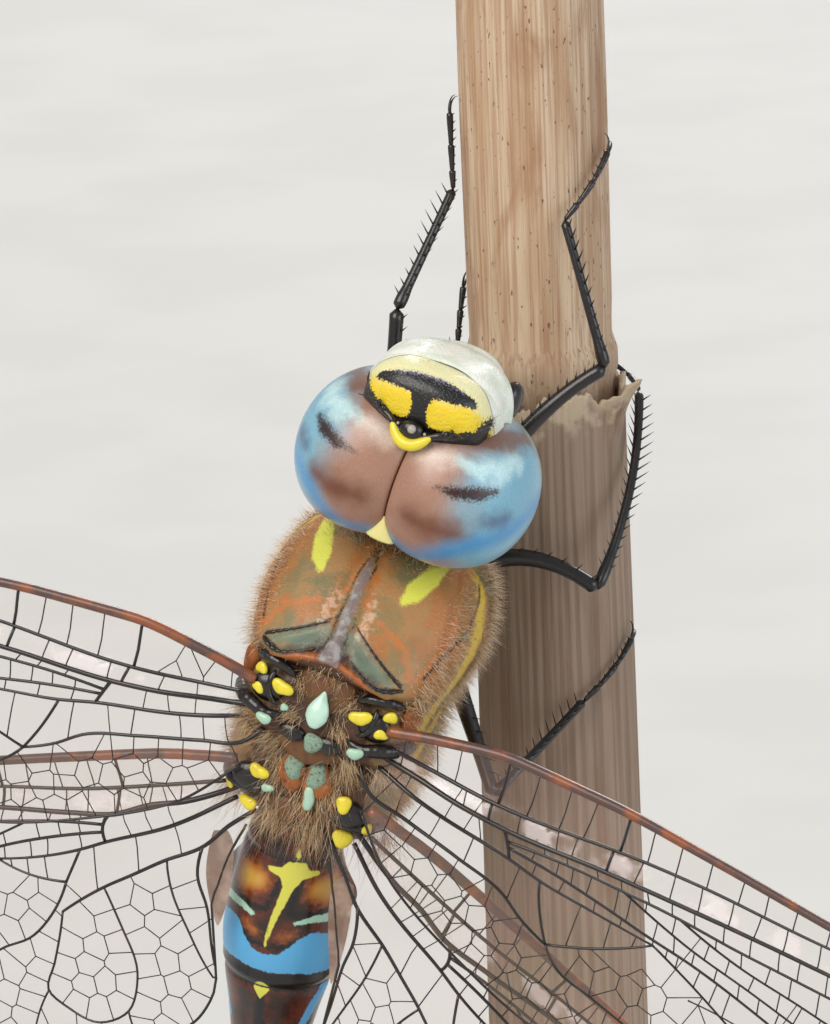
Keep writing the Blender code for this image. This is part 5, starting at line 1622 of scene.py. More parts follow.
# --- legs ------------------------------------------------------------------------------
@dataclass(frozen=True)
class Leg:
    """A leg: hip in the body frame, knee in the stand's, and the foot round the reed, whose places
    are an angle from the reed's front, a height and a distance from the reed's axis. The thigh is
    arched and the shin bowed, each by up to a vector at its middle."""
    name: str
    hip: Point
    knee: Point
    ankle: Point
    toe: Point
    arch: Point = (0.0, 0.25, 0.0)
    bow: Point = (0.0, -0.1, 0.0)
    above: Point = (0.31, 0.22, 0.93)

    @staticmethod
    def on_reed(place: Array) -> Array:
        """Places beside the reed, from rows of angle in degrees, height and radius."""
        turn = np.radians(place[..., 0])
        return np.stack((place[..., 2] * np.sin(turn), -place[..., 2] * np.cos(turn), place[..., 1]), axis=-1)

    @staticmethod
    def bowed(start: Array, end: Array, bow: Point, count: int) -> Array:
        """Points on a shallow arc: the line from start to end plus bow * 4 s (1 - s)."""
        share = np.linspace(0.0, 1.0, count)[:, None]
        return start + (end - start) * share + np.array(bow) * (4 * share * (1 - share))

    def limb(self, path: Array, knots: Sequence[Flat], sides: int = 14) -> Shell:
        """A limb whose radius follows knots of share and radius, rounded off at both ends."""
        share = np.linspace(0.0, 1.0, len(path))
        ends = np.sqrt(np.clip(np.minimum(share, 1.0 - share) / 0.02, 0.06, 1.0))
        return one_tube(path, curve_through(knots, share) * ends, self.above, sides)

    def spines(self, path: Array, radius: float, length: float, spacing: float, turns: Flat) -> list[Shell]:
        """Rows of thin spines down a limb, leaning towards its far end.

        Args:
            path: the limb's middle line.
            radius: the limb's own radius.
            length: how long the longest spine is.
            spacing: the distance between two spines of a row.
            turns: where each row sits round the limb, in radians.

        Returns:
            A shell for each row.
        """
        count = max(3, int(np.linalg.norm(path[-1] - path[0]) / spacing))
        share = np.linspace(0.1, 0.95, count)
        at = np.stack([np.interp(share, np.linspace(0, 1, len(path)), path[:, axis]) for axis in range(3)],
            axis=1)
        ahead = unit(path[-1] - path[0])
        beside = unit(np.cross(ahead, np.array(self.above)))
        over = np.cross(beside, ahead)
        rows = []
        for turn in turns:
            out = np.cos(turn) * beside + np.sin(turn) * over
            long = length * (0.75 + 0.25 * np.cos(7.0 * share + 3.0 * turn))
            reach = np.linspace(0.0, 1.0, 4)[None, :, None] * long[:, None, None]
            paths = (at + 0.7 * radius * out)[:, None] + unit(out + 0.75 * ahead) * reach
            radii = np.broadcast_to(np.array([0.035, 0.028, 0.018, 0.004]), paths.shape[:2])
            rows.append(tube_shell(paths, radii, out, 5))
        return rows

    def claws(self, foot: Array) -> list[Shell]:
        """Two hooks at the end of the foot that spread apart and close in on the reed."""
        inward = -unit(foot[-1] * np.array([1.0, 1.0, 0.0]))
        ahead = unit(foot[-1] - foot[-4])
        beside = unit(np.cross(ahead, inward))
        share = np.linspace(0.0, 1.0, 14)[:, None]
        hook = foot[-1] + ahead * 0.55 * np.sin(0.5 * np.pi * share) + inward * 0.28 * share ** 2
        thick = np.linspace(0.055, 0.006, 14)
        return [one_tube(hook + beside * spread * (0.05 + 0.22 * share), thick, beside, 8)
                for spread in (1.0, -1.0)]

    def add(self, part: str, node: str, shells: list[Shell]) -> None:
        """Adds a piece of the leg."""
        add_piece(f"{part}_{self.name}", Shell.join(shells), BLACK_CHITIN, [f"{node}_{self.name}"])

    def build(self, body: Placement) -> None:
        """Makes thigh, shin and foot, each with its spines, and the two claws."""
        knee = np.array(self.knee)
        thigh = self.bowed(body.place(np.array(self.hip)), knee, self.arch, 40)
        shin = self.bowed(knee, self.on_reed(np.array(self.ankle)), self.bow, 36)
        thigh_widths = ((0.0, 0.42), (0.12, 0.36), (0.5, 0.3), (0.85, 0.25), (1.0, 0.26))
        shin_widths = ((0.0, 0.2), (0.08, 0.23), (0.2, 0.18), (0.8, 0.155), (1.0, 0.17))
        self.add("thigh", "femur", [self.limb(thigh, thigh_widths),
                                    *self.spines(thigh, 0.28, 0.42, 0.5, (0.9, 2.3))])
        self.add("shin", "tibia", [self.limb(shin, shin_widths),
                                   *self.spines(shin, 0.17, 0.62, 0.42, (0.6, 2.5))])
        foot = self.on_reed(np.linspace(np.array(self.ankle), np.array(self.toe), 40))
        joints = [self.limb(foot[start:end], ((0.0, 0.085), (0.2, 0.09), (0.85, 0.12), (1.0, 0.1)), 12)
                  for start, end in ((0, 11), (9, 24), (22, 40))]
        self.add("foot", "tarsus", joints + self.spines(foot, 0.1, 0.22, 0.3, (0.6, 2.5)) + self.claws(foot))


LEGS = (
    Leg("fore_right", (1.1, 4.4, -6.3), (2.15, -4.2, 79.9), (18, 84.9, 3.0), (60, 87.0, 2.95),
        (0.0, 0.2, 0.8)),
    Leg("fore_left", (-1.1, 4.4, -6.3), (-5.0, -3.0, 82.0), (-74, 85.7, 3.0), (-80, 88.4, 2.95)),
    Leg("mid_right", (1.8, 3.4, -7.3), (1.6, -4.8, 72.1), (96, 77.9, 3.45), (165, 79.1, 3.3),
        (0.0, 0.16, 0.8), (0.4, -0.2, 0.0)),
    Leg("mid_left", (-1.5, 2.8, -7.4), (-7.9, -0.9, 76.6), (-104, 79.8, 3.0), (-117, 81.7, 2.95)),
    Leg("hind_right", (1.8, 0.8, -7.6), (-2.3, -6.3, 65.2), (18, 67.6, 3.4), (60, 69.4, 3.3)),
    Leg("hind_left", (-1.8, 0.8, -7.6), (-8.2, -0.6, 66.0), (-98, 68.6, 3.05), (-92, 71.2, 2.95)))


# --- wings -----------------------------------------------------------------------------
@dataclass(frozen=True)
class WingMembrane(Finish):
    """Clear dry membrane: almost nothing but its gloss, with a faint smoky stain, fine wrinkles, and a
    painted glint of whiter, less clear patches between the subcosta and the radius.
    """
    smoke: str = "#B9A48A"
    rose: str = "#C9A79C"
    glint_white: str = "#F2E4E4"
    clear: float = 0.14
    glint_alpha: float = 0.5

    def build(self) -> Material:
        """A nearly clear shader whose bump is fine crumples, so that it glints in patches; the painted glint
        is whiter and less clear.
        """
        recipe = Recipe("wing_membrane")
        stain = recipe.level(recipe.grain(3.0, 2.0), 0.35, 0.65)
        # Whiter, less clear patches between the subcosta and the radius: a painted glint.
        strip = recipe.maths("MULTIPLY", recipe.painted("strip", 0.12, 0.1, 0.3),
                             recipe.level(recipe.grain(1.4, 2.0), 0.42, 0.62))
        skin = recipe.blend(strip, recipe.blend(stain, self.smoke, self.rose), self.glint_white)
        return recipe.surface(skin, 0.18, recipe.relief(recipe.grain(0.5, 4.0, distortion=1.2), 0.05),
                              Alpha=recipe.level(strip, 0.0, 1.0, self.clear, self.glint_alpha),
                              Specular_IOR_Level=0.9, Coat_Weight=0.6, Coat_Roughness=0.1)


@dataclass(frozen=True)
class Vein:
    """A long vein: its points as span and chord in the wing's plane, and its radii at root and end."""
    name: str
    points: tuple[Flat, ...]
    root_radius: float = 0.07
    end_radius: float = 0.035


@dataclass(frozen=True)
class Rungs:
    """Cross-veins between two long veins, spaced evenly over a stretch of the span."""
    ahead: str
    behind: str
    start: float
    end: float
    spacing: float
    skew: float = 0.0


@dataclass(frozen=True)
class WingPlan:
    """One pair of wings: where it is hinged, its outline, and its veins."""
    name: str
    root: Point
    sweep: float
    dihedral: float
    length: float
    edges: tuple[tuple[float, float, float], ...]
    nodus: float
    stigma: Flat
    veins: tuple[Vein, ...]
    rungs: tuple[Rungs, ...]
    field_from: float
    thick_rungs: Flat
    droop: tuple[float, float, float] = (0.0, 0.0, 1.0)
    spread: float = 0.0


FORE = WingPlan(
    name="forewing", root=(2.5, -0.15, -0.4), sweep=3.4, dihedral=3.0, length=40.0,
    edges=((0.0, -0.1, -3.4), (0.05, 0.42, -5.4), (0.12, 0.88, -6.8), (0.2, 0.86, -7.9), (0.3, 0.56, -8.5),
        (0.42, 0.08, -8.9), (0.51, -0.25, -9.0), (0.7, -0.8, -9.1), (0.86, -1.5, -8.3), (0.95, -2.6, -7.1),
        (1.0, -4.2, -5.5)),
    nodus=20.4, stigma=(31.6, 34.6),
    veins=(
        Vein("subcosta", ((0.3, -0.7), (3.0, -0.93), (5.0, -0.95), (9.5, -0.68), (12.0, -0.62), (17.0, -0.66),
                (19.6, -0.4), (20.4, 0.15)),
            0.09, 0.06),
        Vein("radius",
            ((-0.8, -0.8), (0.2, -1.15), (1.8, -1.35), (3.2, -1.5), (5.0, -1.62), (8.7, -1.5), (12.9, -1.5),
                (17.3, -1.55), (20.4, -1.4), (24.0, -1.0), (28.0, -0.9), (32.0, -1.25), (35.0, -1.8),
                (37.5, -2.7), (39.3, -3.5)),
            0.12, 0.05),
        Vein("sector", ((5.2, -2.05), (7.1, -1.9), (9.3, -1.9), (11.5, -1.95), (14.2, -2.15), (20.4, -2.15),
                (24.0, -1.8), (28.0, -1.75), (32.0, -2.2), (35.0, -3.0), (37.5, -4.2), (38.8, -5.2)),
            0.07, 0.035),
        Vein("second_sector", ((20.4, -2.15), (24.0, -2.9), (28.0, -3.6), (32.0, -4.7), (36.0, -7.2)), 0.05,
            0.035),
        Vein("between_sectors",
            ((11.8, -1.97), (14.0, -2.65), (17.0, -3.1), (21.0, -3.6), (25.0, -4.5), (30.0, -6.3),
                (33.0, -7.95)),
            0.05, 0.035),
        Vein("third_sector",
            ((9.6, -1.9), (12.0, -2.75), (15.0, -3.4), (19.0, -4.3), (23.5, -5.9), (27.0, -7.9),
                (28.2, -8.75)),
            0.05, 0.035),
        Vein("media", ((5.3, -2.25), (7.2, -2.45), (9.1, -2.75), (11.0, -3.1), (12.6, -3.35), (15.2, -3.95),
                (19.0, -5.1), (23.0, -7.0), (25.0, -8.8)),
            0.07, 0.035),
        Vein("stem", ((0.0, -1.55), (1.5, -1.9), (3.2, -2.3), (5.45, -2.62), (6.72, -2.87), (8.5, -3.05),
                (11.2, -3.3)),
            0.1, 0.05),
        Vein("hind_media", ((11.2, -3.3), (13.5, -4.3), (16.5, -6.0), (19.5, -8.85)), 0.05, 0.035),
        Vein("triangle_root", ((6.72, -2.87), (7.1, -3.9), (7.65, -4.95)), 0.06, 0.06),
        Vein("triangle_tip", ((7.65, -4.95), (9.3, -4.3), (11.2, -3.3)), 0.06, 0.05),
        Vein("cubitus", ((7.65, -4.95), (8.3, -5.6), (9.8, -6.05), (12.5, -6.9), (15.5, -8.65)), 0.06, 0.035),
        Vein("anal",
            ((-0.6, -1.75), (0.1, -2.5), (1.5, -2.9), (3.7, -3.35), (5.6, -3.85), (6.6, -4.5), (7.65, -4.95)),
            0.09, 0.06),
        Vein("arculus", ((5.0, -1.62), (5.2, -2.05), (5.45, -2.62)), 0.08, 0.07),
        Vein("media_fold", ((13.0, -4.6), (16.5, -5.0), (19.0, -5.9), (21.0, -7.4)), 0.035, 0.03),
        Vein("sector_fold", ((20.5, -4.6), (24.5, -5.1), (27.5, -6.0), (29.5, -7.4)), 0.035, 0.03)),
    rungs=(Rungs("costa", "subcosta", 4.45, 19.9, 1.1), Rungs("subcosta", "radius", 3.2, 19.9, 1.1, 0.1),
        Rungs("costa", "radius", 21.4, 38.6, 1.1), Rungs("radius", "sector", 6.4, 38.0, 1.0, 0.15),
        Rungs("sector", "second_sector", 22.0, 27.0, 1.0),
        Rungs("sector", "between_sectors", 13.2, 20.0, 0.95, 0.1),
        Rungs("second_sector", "between_sectors", 21.2, 25.5, 0.95),
        Rungs("between_sectors", "third_sector", 13.0, 18.5, 0.9),
        Rungs("sector", "third_sector", 10.4, 11.6, 0.9), Rungs("sector", "media", 6.2, 9.4, 0.9),
        Rungs("third_sector", "media", 10.0, 17.0, 0.9, 0.1), Rungs("media", "stem", 6.4, 11.0, 1.1),
        Rungs("stem", "anal", 4.1, 6.1, 2.0), Rungs("stem", "triangle_tip", 8.4, 10.6, 0.9),
        Rungs("media", "hind_media", 11.6, 14.4, 0.75)),
    field_from=-0.2, thick_rungs=(4.45, 8.95), droop=(0.9, 15.0, 30.0))

HIND = WingPlan(
    name="hindwing", root=(2.5, -3.6, -1.25), sweep=22.5, dihedral=-1.5, length=38.5,
    edges=((0.0, 0.0, -2.4), (0.02, 0.1, -3.4), (0.036, 0.15, -4.6), (0.046, 0.18, -5.4), (0.05, 0.2, -8.0),
        (0.06, 0.22, -8.9), (0.08, 0.25, -9.7), (0.16, 0.2, -11.0), (0.3, 0.05, -11.7), (0.45, -0.1, -11.3),
        (0.65, -0.3, -10.3), (0.83, -0.8, -8.6), (0.95, -1.9, -6.8), (1.0, -3.3, -5.0)),
    nodus=16.3, stigma=(29.8, 32.8),
    veins=(
        Vein("subcosta", ((0.6, -0.85), (3.5, -1.0), (6.0, -1.05), (9.1, -0.88), (12.0, -0.72), (15.4, -0.4),
                (16.3, 0.25)),
            0.09, 0.06),
        Vein("radius",
            ((0.0, -1.0), (0.6, -1.2), (2.3, -1.57), (3.5, -1.65), (4.9, -1.93), (6.5, -1.85), (9.5, -1.6),
                (13.0, -1.4), (16.3, -1.2), (22.0, -0.75), (27.0, -0.8), (31.0, -1.25), (34.5, -2.0),
                (36.6, -2.8), (38.0, -3.5)),
            0.12, 0.05),
        Vein("sector",
            ((5.4, -2.3), (6.9, -2.15), (8.6, -2.1), (12.0, -2.1), (16.3, -1.95), (22.0, -1.6), (27.0, -1.75),
                (31.0, -2.35), (34.5, -3.6), (36.6, -5.0)),
            0.07, 0.035),
        Vein("second_sector", ((16.3, -1.95), (20.0, -2.6), (25.0, -3.7), (29.5, -5.3), (33.2, -7.75)), 0.05,
            0.035),
        Vein("between_sectors",
            ((9.6, -2.1), (12.0, -2.8), (16.0, -3.5), (21.0, -4.7), (26.0, -6.7), (30.0, -9.35)), 0.05,
            0.035),
        Vein("third_sector",
            ((8.2, -2.1), (10.5, -3.0), (14.5, -4.2), (19.0, -5.9), (23.0, -8.5), (25.0, -10.8)), 0.05,
            0.035),
        Vein("media", ((5.46, -2.6), (7.2, -2.72), (9.4, -3.05), (12.0, -3.75), (16.0, -5.4), (19.5, -7.8),
                (21.5, -10.95)),
            0.07, 0.035),
        Vein("stem", ((0.3, -1.45), (0.8, -1.65), (3.1, -2.5), (5.45, -3.0), (6.45, -3.25), (9.6, -3.5)), 0.1,
            0.05),
        Vein("hind_media", ((9.6, -3.5), (12.0, -4.9), (14.5, -7.4), (16.2, -11.5)), 0.05, 0.035),
        Vein("triangle_root", ((6.45, -3.25), (6.75, -3.8), (7.1, -4.4)), 0.06, 0.06),
        Vein("triangle_tip", ((7.1, -4.4), (8.4, -4.1), (9.6, -3.5)), 0.06, 0.05),
        Vein("cubitus", ((7.1, -4.4), (7.75, -5.5), (8.7, -6.4), (10.0, -6.85), (11.8, -8.6), (12.8, -11.6)),
            0.06, 0.035),
        Vein("anal",
            ((-0.4, -1.9), (0.6, -2.4), (1.83, -3.25), (3.3, -3.7), (4.6, -4.2), (5.7, -4.62), (7.4, -5.5)),
            0.09, 0.06),
        Vein("anal_loop",
            ((7.4, -5.5), (7.6, -6.3), (7.95, -7.35), (8.35, -8.4), (7.65, -9.1), (6.6, -9.6), (5.4, -9.2),
                (4.9, -7.9), (5.2, -6.2), (5.7, -4.62)),
            0.05, 0.05),
        Vein("anal_triangle", ((1.83, -3.25), (2.1, -4.2), (1.95, -5.4), (1.95, -6.85), (1.84, -8.3)), 0.07,
            0.05),
        Vein("second_anal", ((3.2, -3.7), (3.07, -5.25), (2.7, -6.5), (1.93, -8.2)), 0.05, 0.045),
        Vein("anal_branch", ((5.4, -9.2), (5.2, -10.2), (4.9, -10.9)), 0.045, 0.035),
        Vein("loop_branch", ((8.35, -8.4), (9.0, -9.6), (9.3, -11.4)), 0.045, 0.035),
        Vein("arculus", ((5.1, -1.93), (5.45, -2.5), (5.45, -3.0)), 0.08, 0.07),
        Vein("media_fold", ((11.0, -4.9), (14.0, -5.6), (16.5, -7.2), (18.0, -9.4)), 0.035, 0.03),
        Vein("sector_fold", ((17.0, -5.0), (21.5, -5.7), (25.0, -7.2), (27.0, -9.2)), 0.035, 0.03)),
    rungs=(Rungs("costa", "subcosta", 3.4, 15.9, 1.15), Rungs("subcosta", "radius", 2.3, 15.9, 1.15, 0.1),
        Rungs("costa", "radius", 17.4, 37.2, 1.1), Rungs("radius", "sector", 6.2, 36.2, 1.0, 0.15),
        Rungs("sector", "second_sector", 18.0, 23.5, 1.0),
        Rungs("sector", "between_sectors", 11.0, 16.0, 0.95, 0.1),
        Rungs("second_sector", "between_sectors", 17.0, 21.5, 0.95),
        Rungs("between_sectors", "third_sector", 11.2, 15.0, 0.9), Rungs("sector", "media", 6.2, 8.0, 0.8),
        Rungs("third_sector", "media", 9.2, 13.5, 0.9, 0.1), Rungs("media", "stem", 6.4, 9.4, 1.1),
        Rungs("stem", "anal", 3.9, 5.7, 1.8), Rungs("stem", "triangle_tip", 7.8, 9.2, 0.8),
        Rungs("media", "hind_media", 10.4, 12.6, 0.75)),
    field_from=2.2, thick_rungs=(4.6, 9.3), droop=(0.55, 8.0, 24.0), spread=0.57)


@dataclass
class Wing:
    """One wing: a clear pleated sheet, long veins, rungs between them and a net of cells."""
    body: Placement
    side: Side
    plan: WingPlan
    turn: float = -1.4
    cell: float = 1.0
    clear_of_veins: float = 0.36
    pleats: tuple[Flat, ...] = (
        (-0.3, 0.1), (0.0, 0.14), (1.3, -0.16), (2.3, 0.14), (3.3, -0.08), (4.4, 0.05), (6.5, 0.0),
        (13.0, 0.0))

    def __post_init__(self) -> None:
        """Works out the wing's axes from its sweep, its dihedral and the body's slight twist."""
        sign = self.side.value
        sweep, rise = np.radians(self.plan.sweep + sign * self.turn), np.radians(self.plan.dihedral)
        outward = np.array([sign * np.cos(sweep) * np.cos(rise), -np.sin(sweep) * np.cos(rise), np.sin(rise)])
        forward = np.array([sign * np.sin(sweep), np.cos(sweep), 0.0])
        above = np.cross(outward, forward) * sign
        root = np.array(self.plan.root) * np.array([sign, 1.0, 1.0])
        self.frame = self.body.carry(tuple(root), np.stack((outward, forward, above), axis=1))
        self.chance = np.random.default_rng(40 + sign + 7 * len(self.plan.veins))
        self.name = f"{self.plan.name}_{self.side.word}"
        self.lines = self.long_veins()

    def edge(self, span: Array, column: int) -> Array:
        """The leading edge (1) or trailing edge (2) at places along the span, rounded at the tip."""
        share = np.clip(span / self.plan.length, 0.0, 1.0)
        middle = 0.5 * (curve_through(self.plan.edges, share, 1) + curve_through(self.plan.edges, share, 2))
        tip = np.sqrt(np.clip((1.0 - share) / 0.012, 0.0, 1.0))
        return middle + (curve_through(self.plan.edges, share, column) - middle) * tip

    def inside(self, places: Array) -> Array:
        """Whether places lie between the two edges."""
        span, chord = places.T
        return (chord < self.edge(span, 1)) & (chord > self.edge(span, 2))

    def height(self, flat: Array) -> Array:
        """The sheet's height over its plane: pleats that follow the leading edge and fade outwards."""
        span = np.clip(flat[..., 0], 0.0, self.plan.length)
        back = self.edge(span, 1) - flat[..., 1]
        fade = 1.0 - 0.75 * span / self.plan.length
        wave = 0.05 * np.sin(0.9 * flat[..., 0] + 1.7 * flat[..., 1]) * smooth_step(3.0, 6.0, back)
        return fade * (curve_through(self.pleats, back) + wave)

    def lift(self, flat: Array, over: float | Array = 0.0) -> Array:
        """Places on the sheet, in the stand's frame, raised by over.

        On the right the hind wing's inner corner is swung outwards, by the spread times how far a
        place lies behind -3.2 and how far it is inside a span of 6.
        """
        if self.side is Side.RIGHT and self.plan.spread:
            swing = self.plan.spread * np.clip(-3.2 - flat[..., 1], 0.0, None) * np.clip(1.0
                - flat[..., 0] / 6.0, 0.0, None)
            flat = np.stack((flat[..., 0] + swing, flat[..., 1]), axis=-1)
        return self.frame.place(np.concatenate((flat, (self.height(flat) + over)[..., None]), axis=-1))

    def add(self, part: str, shell: Shell, finish: Finish, *nodes: str) -> None:
        """Adds a piece of the wing."""
        add_piece(f"{self.name}_{part}", shell, finish, nodes)

    def at(self, name: str, span: Array) -> Array:
        """How far forward a long vein lies at places along the span."""
        return np.interp(span, *self.lines[name].T)

    def long_veins(self) -> dict[str, Array]:
        """The wing's long veins as fine polylines, with the two edges."""
        span = np.linspace(0.0, self.plan.length, 220)
        lines = {"costa": np.stack((span, self.edge(span, 1)), axis=1),
                 "margin": np.stack((span, self.edge(span, 2)), axis=1)}
        depth, begin, end = self.plan.droop
        for vein in self.plan.veins:
            line = polyline(vein.points, 0.25)
            line[:, 1] -= depth * smooth_step(begin, end, line[:, 0])
            if vein.name in ("subcosta", "radius", "sector"):
                line[:, 1] = np.minimum(line[:, 1], self.edge(line[:, 0], 1) - 0.03)
            lines[vein.name] = line
        for line in lines.values():
            line[:, 1] = np.clip(line[:, 1], self.edge(line[:, 0], 2), self.edge(line[:, 0], 1))
        return lines

    def tube(self, name: str, start: float, end: float, sides: int = 8) -> Shell:
        """A long vein's tube, thick at the start and thin at the end."""
        line = self.lines[name]
        return one_tube(self.lift(line), np.linspace(start, end, len(line)), self.frame.axes[:, 2], sides)

    def rung_ends(self, rungs: Rungs) -> tuple[Array, Array]:
        """Both ends of each cross-vein of a ladder, in the wing's plane."""
        count = max(1, int(round((rungs.end - rungs.start) / rungs.spacing)) + 1)
        span = np.linspace(rungs.start, rungs.end, count)
        span = span + rungs.spacing * 0.09 * self.chance.normal(size=count)
        lower_span = span + rungs.skew + 0.05 * self.chance.normal(size=count)
        top = np.stack((span, self.at(rungs.ahead, span)), axis=1)
        return top, np.stack((lower_span, self.at(rungs.behind, lower_span)), axis=1)

    def in_ladder(self, places: Array) -> Array:
        """Whether places lie between the veins of any ladder."""
        u, v = places.T
        return np.logical_or.reduce([
            (u > rungs.start - 0.6) & (u < rungs.end + 0.6)
            & (v < self.at(rungs.ahead, u)) & (v > self.at(rungs.behind, u))
            for rungs in self.plan.rungs])

    @staticmethod
    def nearest(places: Array, starts: Array, ends: Array) -> tuple[Array, Array]:
        """The nearest point on a set of short lines to each place.

        Args:
            places: points in the wing's plane.
            starts: where the short lines start.
            ends: where they end.

        Returns:
            The nearest points, and how far off each is.
        """
        legs = ends - starts
        best = np.full(len(places), 1e9)
        found = np.zeros_like(places)
        for block in range(0, len(starts), 400):
            near, leg = starts[block:block + 400], legs[block:block + 400]
            offset = places[:, None] - near[None]
            share = np.clip((offset * leg[None]).sum(-1) / np.maximum((leg ** 2).sum(-1), 1e-12), 0.0, 1.0)
            point = near[None] + share[..., None] * leg[None]
            gap = np.linalg.norm(places[:, None] - point, axis=-1)
            pick = gap.argmin(axis=1)
            rows = np.arange(len(places))
            closer = gap[rows, pick] < best
            best = np.where(closer, gap[rows, pick], best)
            found = np.where(closer[:, None], point[rows, pick], found)
        return found, best

    @staticmethod
    def circumcentre(a: Array, b: Array, c: Array) -> Array:
        """The middles of the circles through the corners of triangles."""
        (bx, by), (cx, cy) = (b - a).T, (c - a).T
        bb, cc = ((b - a) ** 2).sum(1), ((c - a) ** 2).sum(1)
        doubled = 2.0 * (bx * cy - by * cx)
        return a + np.stack((cy * bb - by * cc, bx * cc - cx * bb), axis=1) / doubled[:, None]

    @staticmethod
    def crosses(a: Array, b: Array, starts: Array, ends: Array) -> Array:
        """Whether each line from a to b crosses any of the short lines.

        Two lines cross where each one's ends lie on different sides of the other.
        """
        def turn(p: Array, q: Array, r: Array) -> Array:
            """Twice the signed area of a triangle."""
            return (q[..., 0] - p[..., 0]) * (r[..., 1] - p[..., 1]) - (q[..., 1] - p[..., 1]) * (r[..., 0]
                - p[..., 0])

        a, b = a[:, None], b[:, None]
        c, d = starts[None], ends[None]
        return ((turn(a, b, c) * turn(a, b, d) < 0) & (turn(c, d, a) * turn(c, d, b) < 0)).any(axis=1)

    def cell_seeds(self, starts: Array, ends: Array) -> Array:
        """The middles of the wide fields' cells: a jittered triangular grid, pushed apart and away
        from the veins.

        Args:
            starts: where the veins' short lines start.
            ends: where they end.

        Returns:
            One place in the wing's plane for each cell.
        """
        length, cell = self.plan.length, self.cell
        us, vs = np.meshgrid(np.arange(0.0, length, 0.95 * cell), np.arange(-12.5, 1.5, 0.82 * cell),
            indexing="ij")
        us = us + 0.475 * cell * (np.arange(vs.shape[1]) % 2)[None, :]
        seeds = np.stack((us.ravel(), vs.ravel()),
            axis=1) + 0.16 * cell * self.chance.normal(size=(us.size, 2))
        field_run = (seeds[:, 0] > self.plan.field_from) & (seeds[:, 0] < length - 0.3)
        seeds = seeds[self.inside(seeds) & field_run & ~self.in_ladder(seeds)]
        for _ in range(6):
            point, gap = self.nearest(seeds, starts, ends)
            away = unit(seeds - point)
            seeds = seeds + away * np.clip(0.46 * cell - gap, 0.0, 0.12)[:, None]
            offset = seeds[:, None] - seeds[None]
            apart = np.linalg.norm(offset, axis=-1) + 1e3 * np.eye(len(seeds))
            push = (np.clip(0.92 * cell - apart, 0.0, None) / apart)[..., None] * offset
            seeds = seeds + 0.2 * push.sum(axis=1)
        _, gap = self.nearest(seeds, starts, ends)
        return seeds[self.inside(seeds) & (gap > 0.6 * self.clear_of_veins) & ~self.in_ladder(seeds)]

    def net(self) -> tuple[Array, Array]:
        """The cell walls of the wide fields.

        A wall lies between two neighbouring cells, from one triangle's circumcentre to the next,
        unless a vein runs between them; a wall's end that passes a vein is brought back onto it.
        A ring of ghost seeds outside the wing closes the triangles at its edge.

        Returns:
            The two ends of each wall, in the wing's plane.
        """
        starts = np.concatenate([line[:-1] for line in self.lines.values()])
        ends = np.concatenate([line[1:] for line in self.lines.values()])
        seeds, cell = self.cell_seeds(starts, ends), self.cell
        rim = np.concatenate((self.lines["margin"], self.lines["costa"]))[::3]
        below = np.arange(len(rim))[:, None] < len(self.lines["margin"][::3])
        ring = rim + np.where(below, [0.0, -0.45], [0.0, 0.45])
        cloud = np.concatenate((seeds, ring))
        ghost = np.arange(len(cloud)) >= len(seeds)
        tri = np.array(delaunay_2d_cdt([Vector(p) for p in cloud.tolist()], [], [], 0, 1e-7)[2])
        a, b, c = (cloud[tri[:, corner]] for corner in range(3))
        mean, centre = (a + b + c) / 3.0, self.circumcentre(a, b, c)
        stray = np.linalg.norm(centre - mean, axis=1) > 0.9 * cell
        centre = np.where(stray[:, None], mean, centre)
        edges = np.concatenate((tri[:, [0, 1]], tri[:, [1, 2]], tri[:, [2, 0]]))
        owner = np.tile(np.arange(len(tri)), 3)
        edges.sort(axis=1)
        order = np.lexsort((edges[:, 1], edges[:, 0]))
        edges, owner = edges[order], owner[order]
        pair = (edges[:-1] == edges[1:]).all(axis=1)
        first, second, ends_of = owner[:-1][pair], owner[1:][pair], edges[:-1][pair]
        p, q = cloud[ends_of[:, 0]], cloud[ends_of[:, 1]]
        keep = np.linalg.norm(p - q, axis=1) < 2.2 * cell
        keep &= ~(self.crosses(p, q, starts, ends) | ghost[ends_of].any(axis=1))
        split = ghost[tri].any(axis=1) | np.logical_or.reduce(
            [self.crosses(p, q, starts, ends) for p, q in ((a, b), (b, c), (c, a), (mean, centre))])
        snapped, _ = self.nearest(centre, starts, ends)
        centre = np.where(split[:, None], snapped, centre)
        centre[:, 1] = np.clip(centre[:, 1], self.edge(centre[:, 0], 2), self.edge(centre[:, 0], 1))
        low, high = centre[first[keep]], centre[second[keep]]
        span = np.linalg.norm(low - high, axis=1)
        real = (span > 0.08) & (span < 2.6 * cell)
        return low[real], high[real]

    def build_sheet(self) -> None:
        """The membrane: the outline's grid lifted onto the pleats."""
        share = np.linspace(0.0, 1.0, 190) ** 1.1
        lanes = np.linspace(0.0, 1.0, 56) ** 1.3
        span = (share * self.plan.length)[:, None] + 0.0 * lanes
        lead, trail = self.edge(span, 1), self.edge(span, 2)
        flat = np.stack((span, lead + (trail - lead) * lanes), axis=-1)
        grid = self.lift(flat)
        shell = grid_shell(grid[:, ::-self.side.value])
        # Where the painted glint lies: between the subcosta and the radius.
        upper, lower = self.at("subcosta", span), self.at("radius", span)
        strip = np.abs(flat[..., 1] - 0.5 * (upper + lower)) - 0.5 * (upper - lower) + 0.08
        shell.marks["strip"] = strip[:, ::-self.side.value].ravel()
        self.add("sheet", shell, WingMembrane(), self.name)

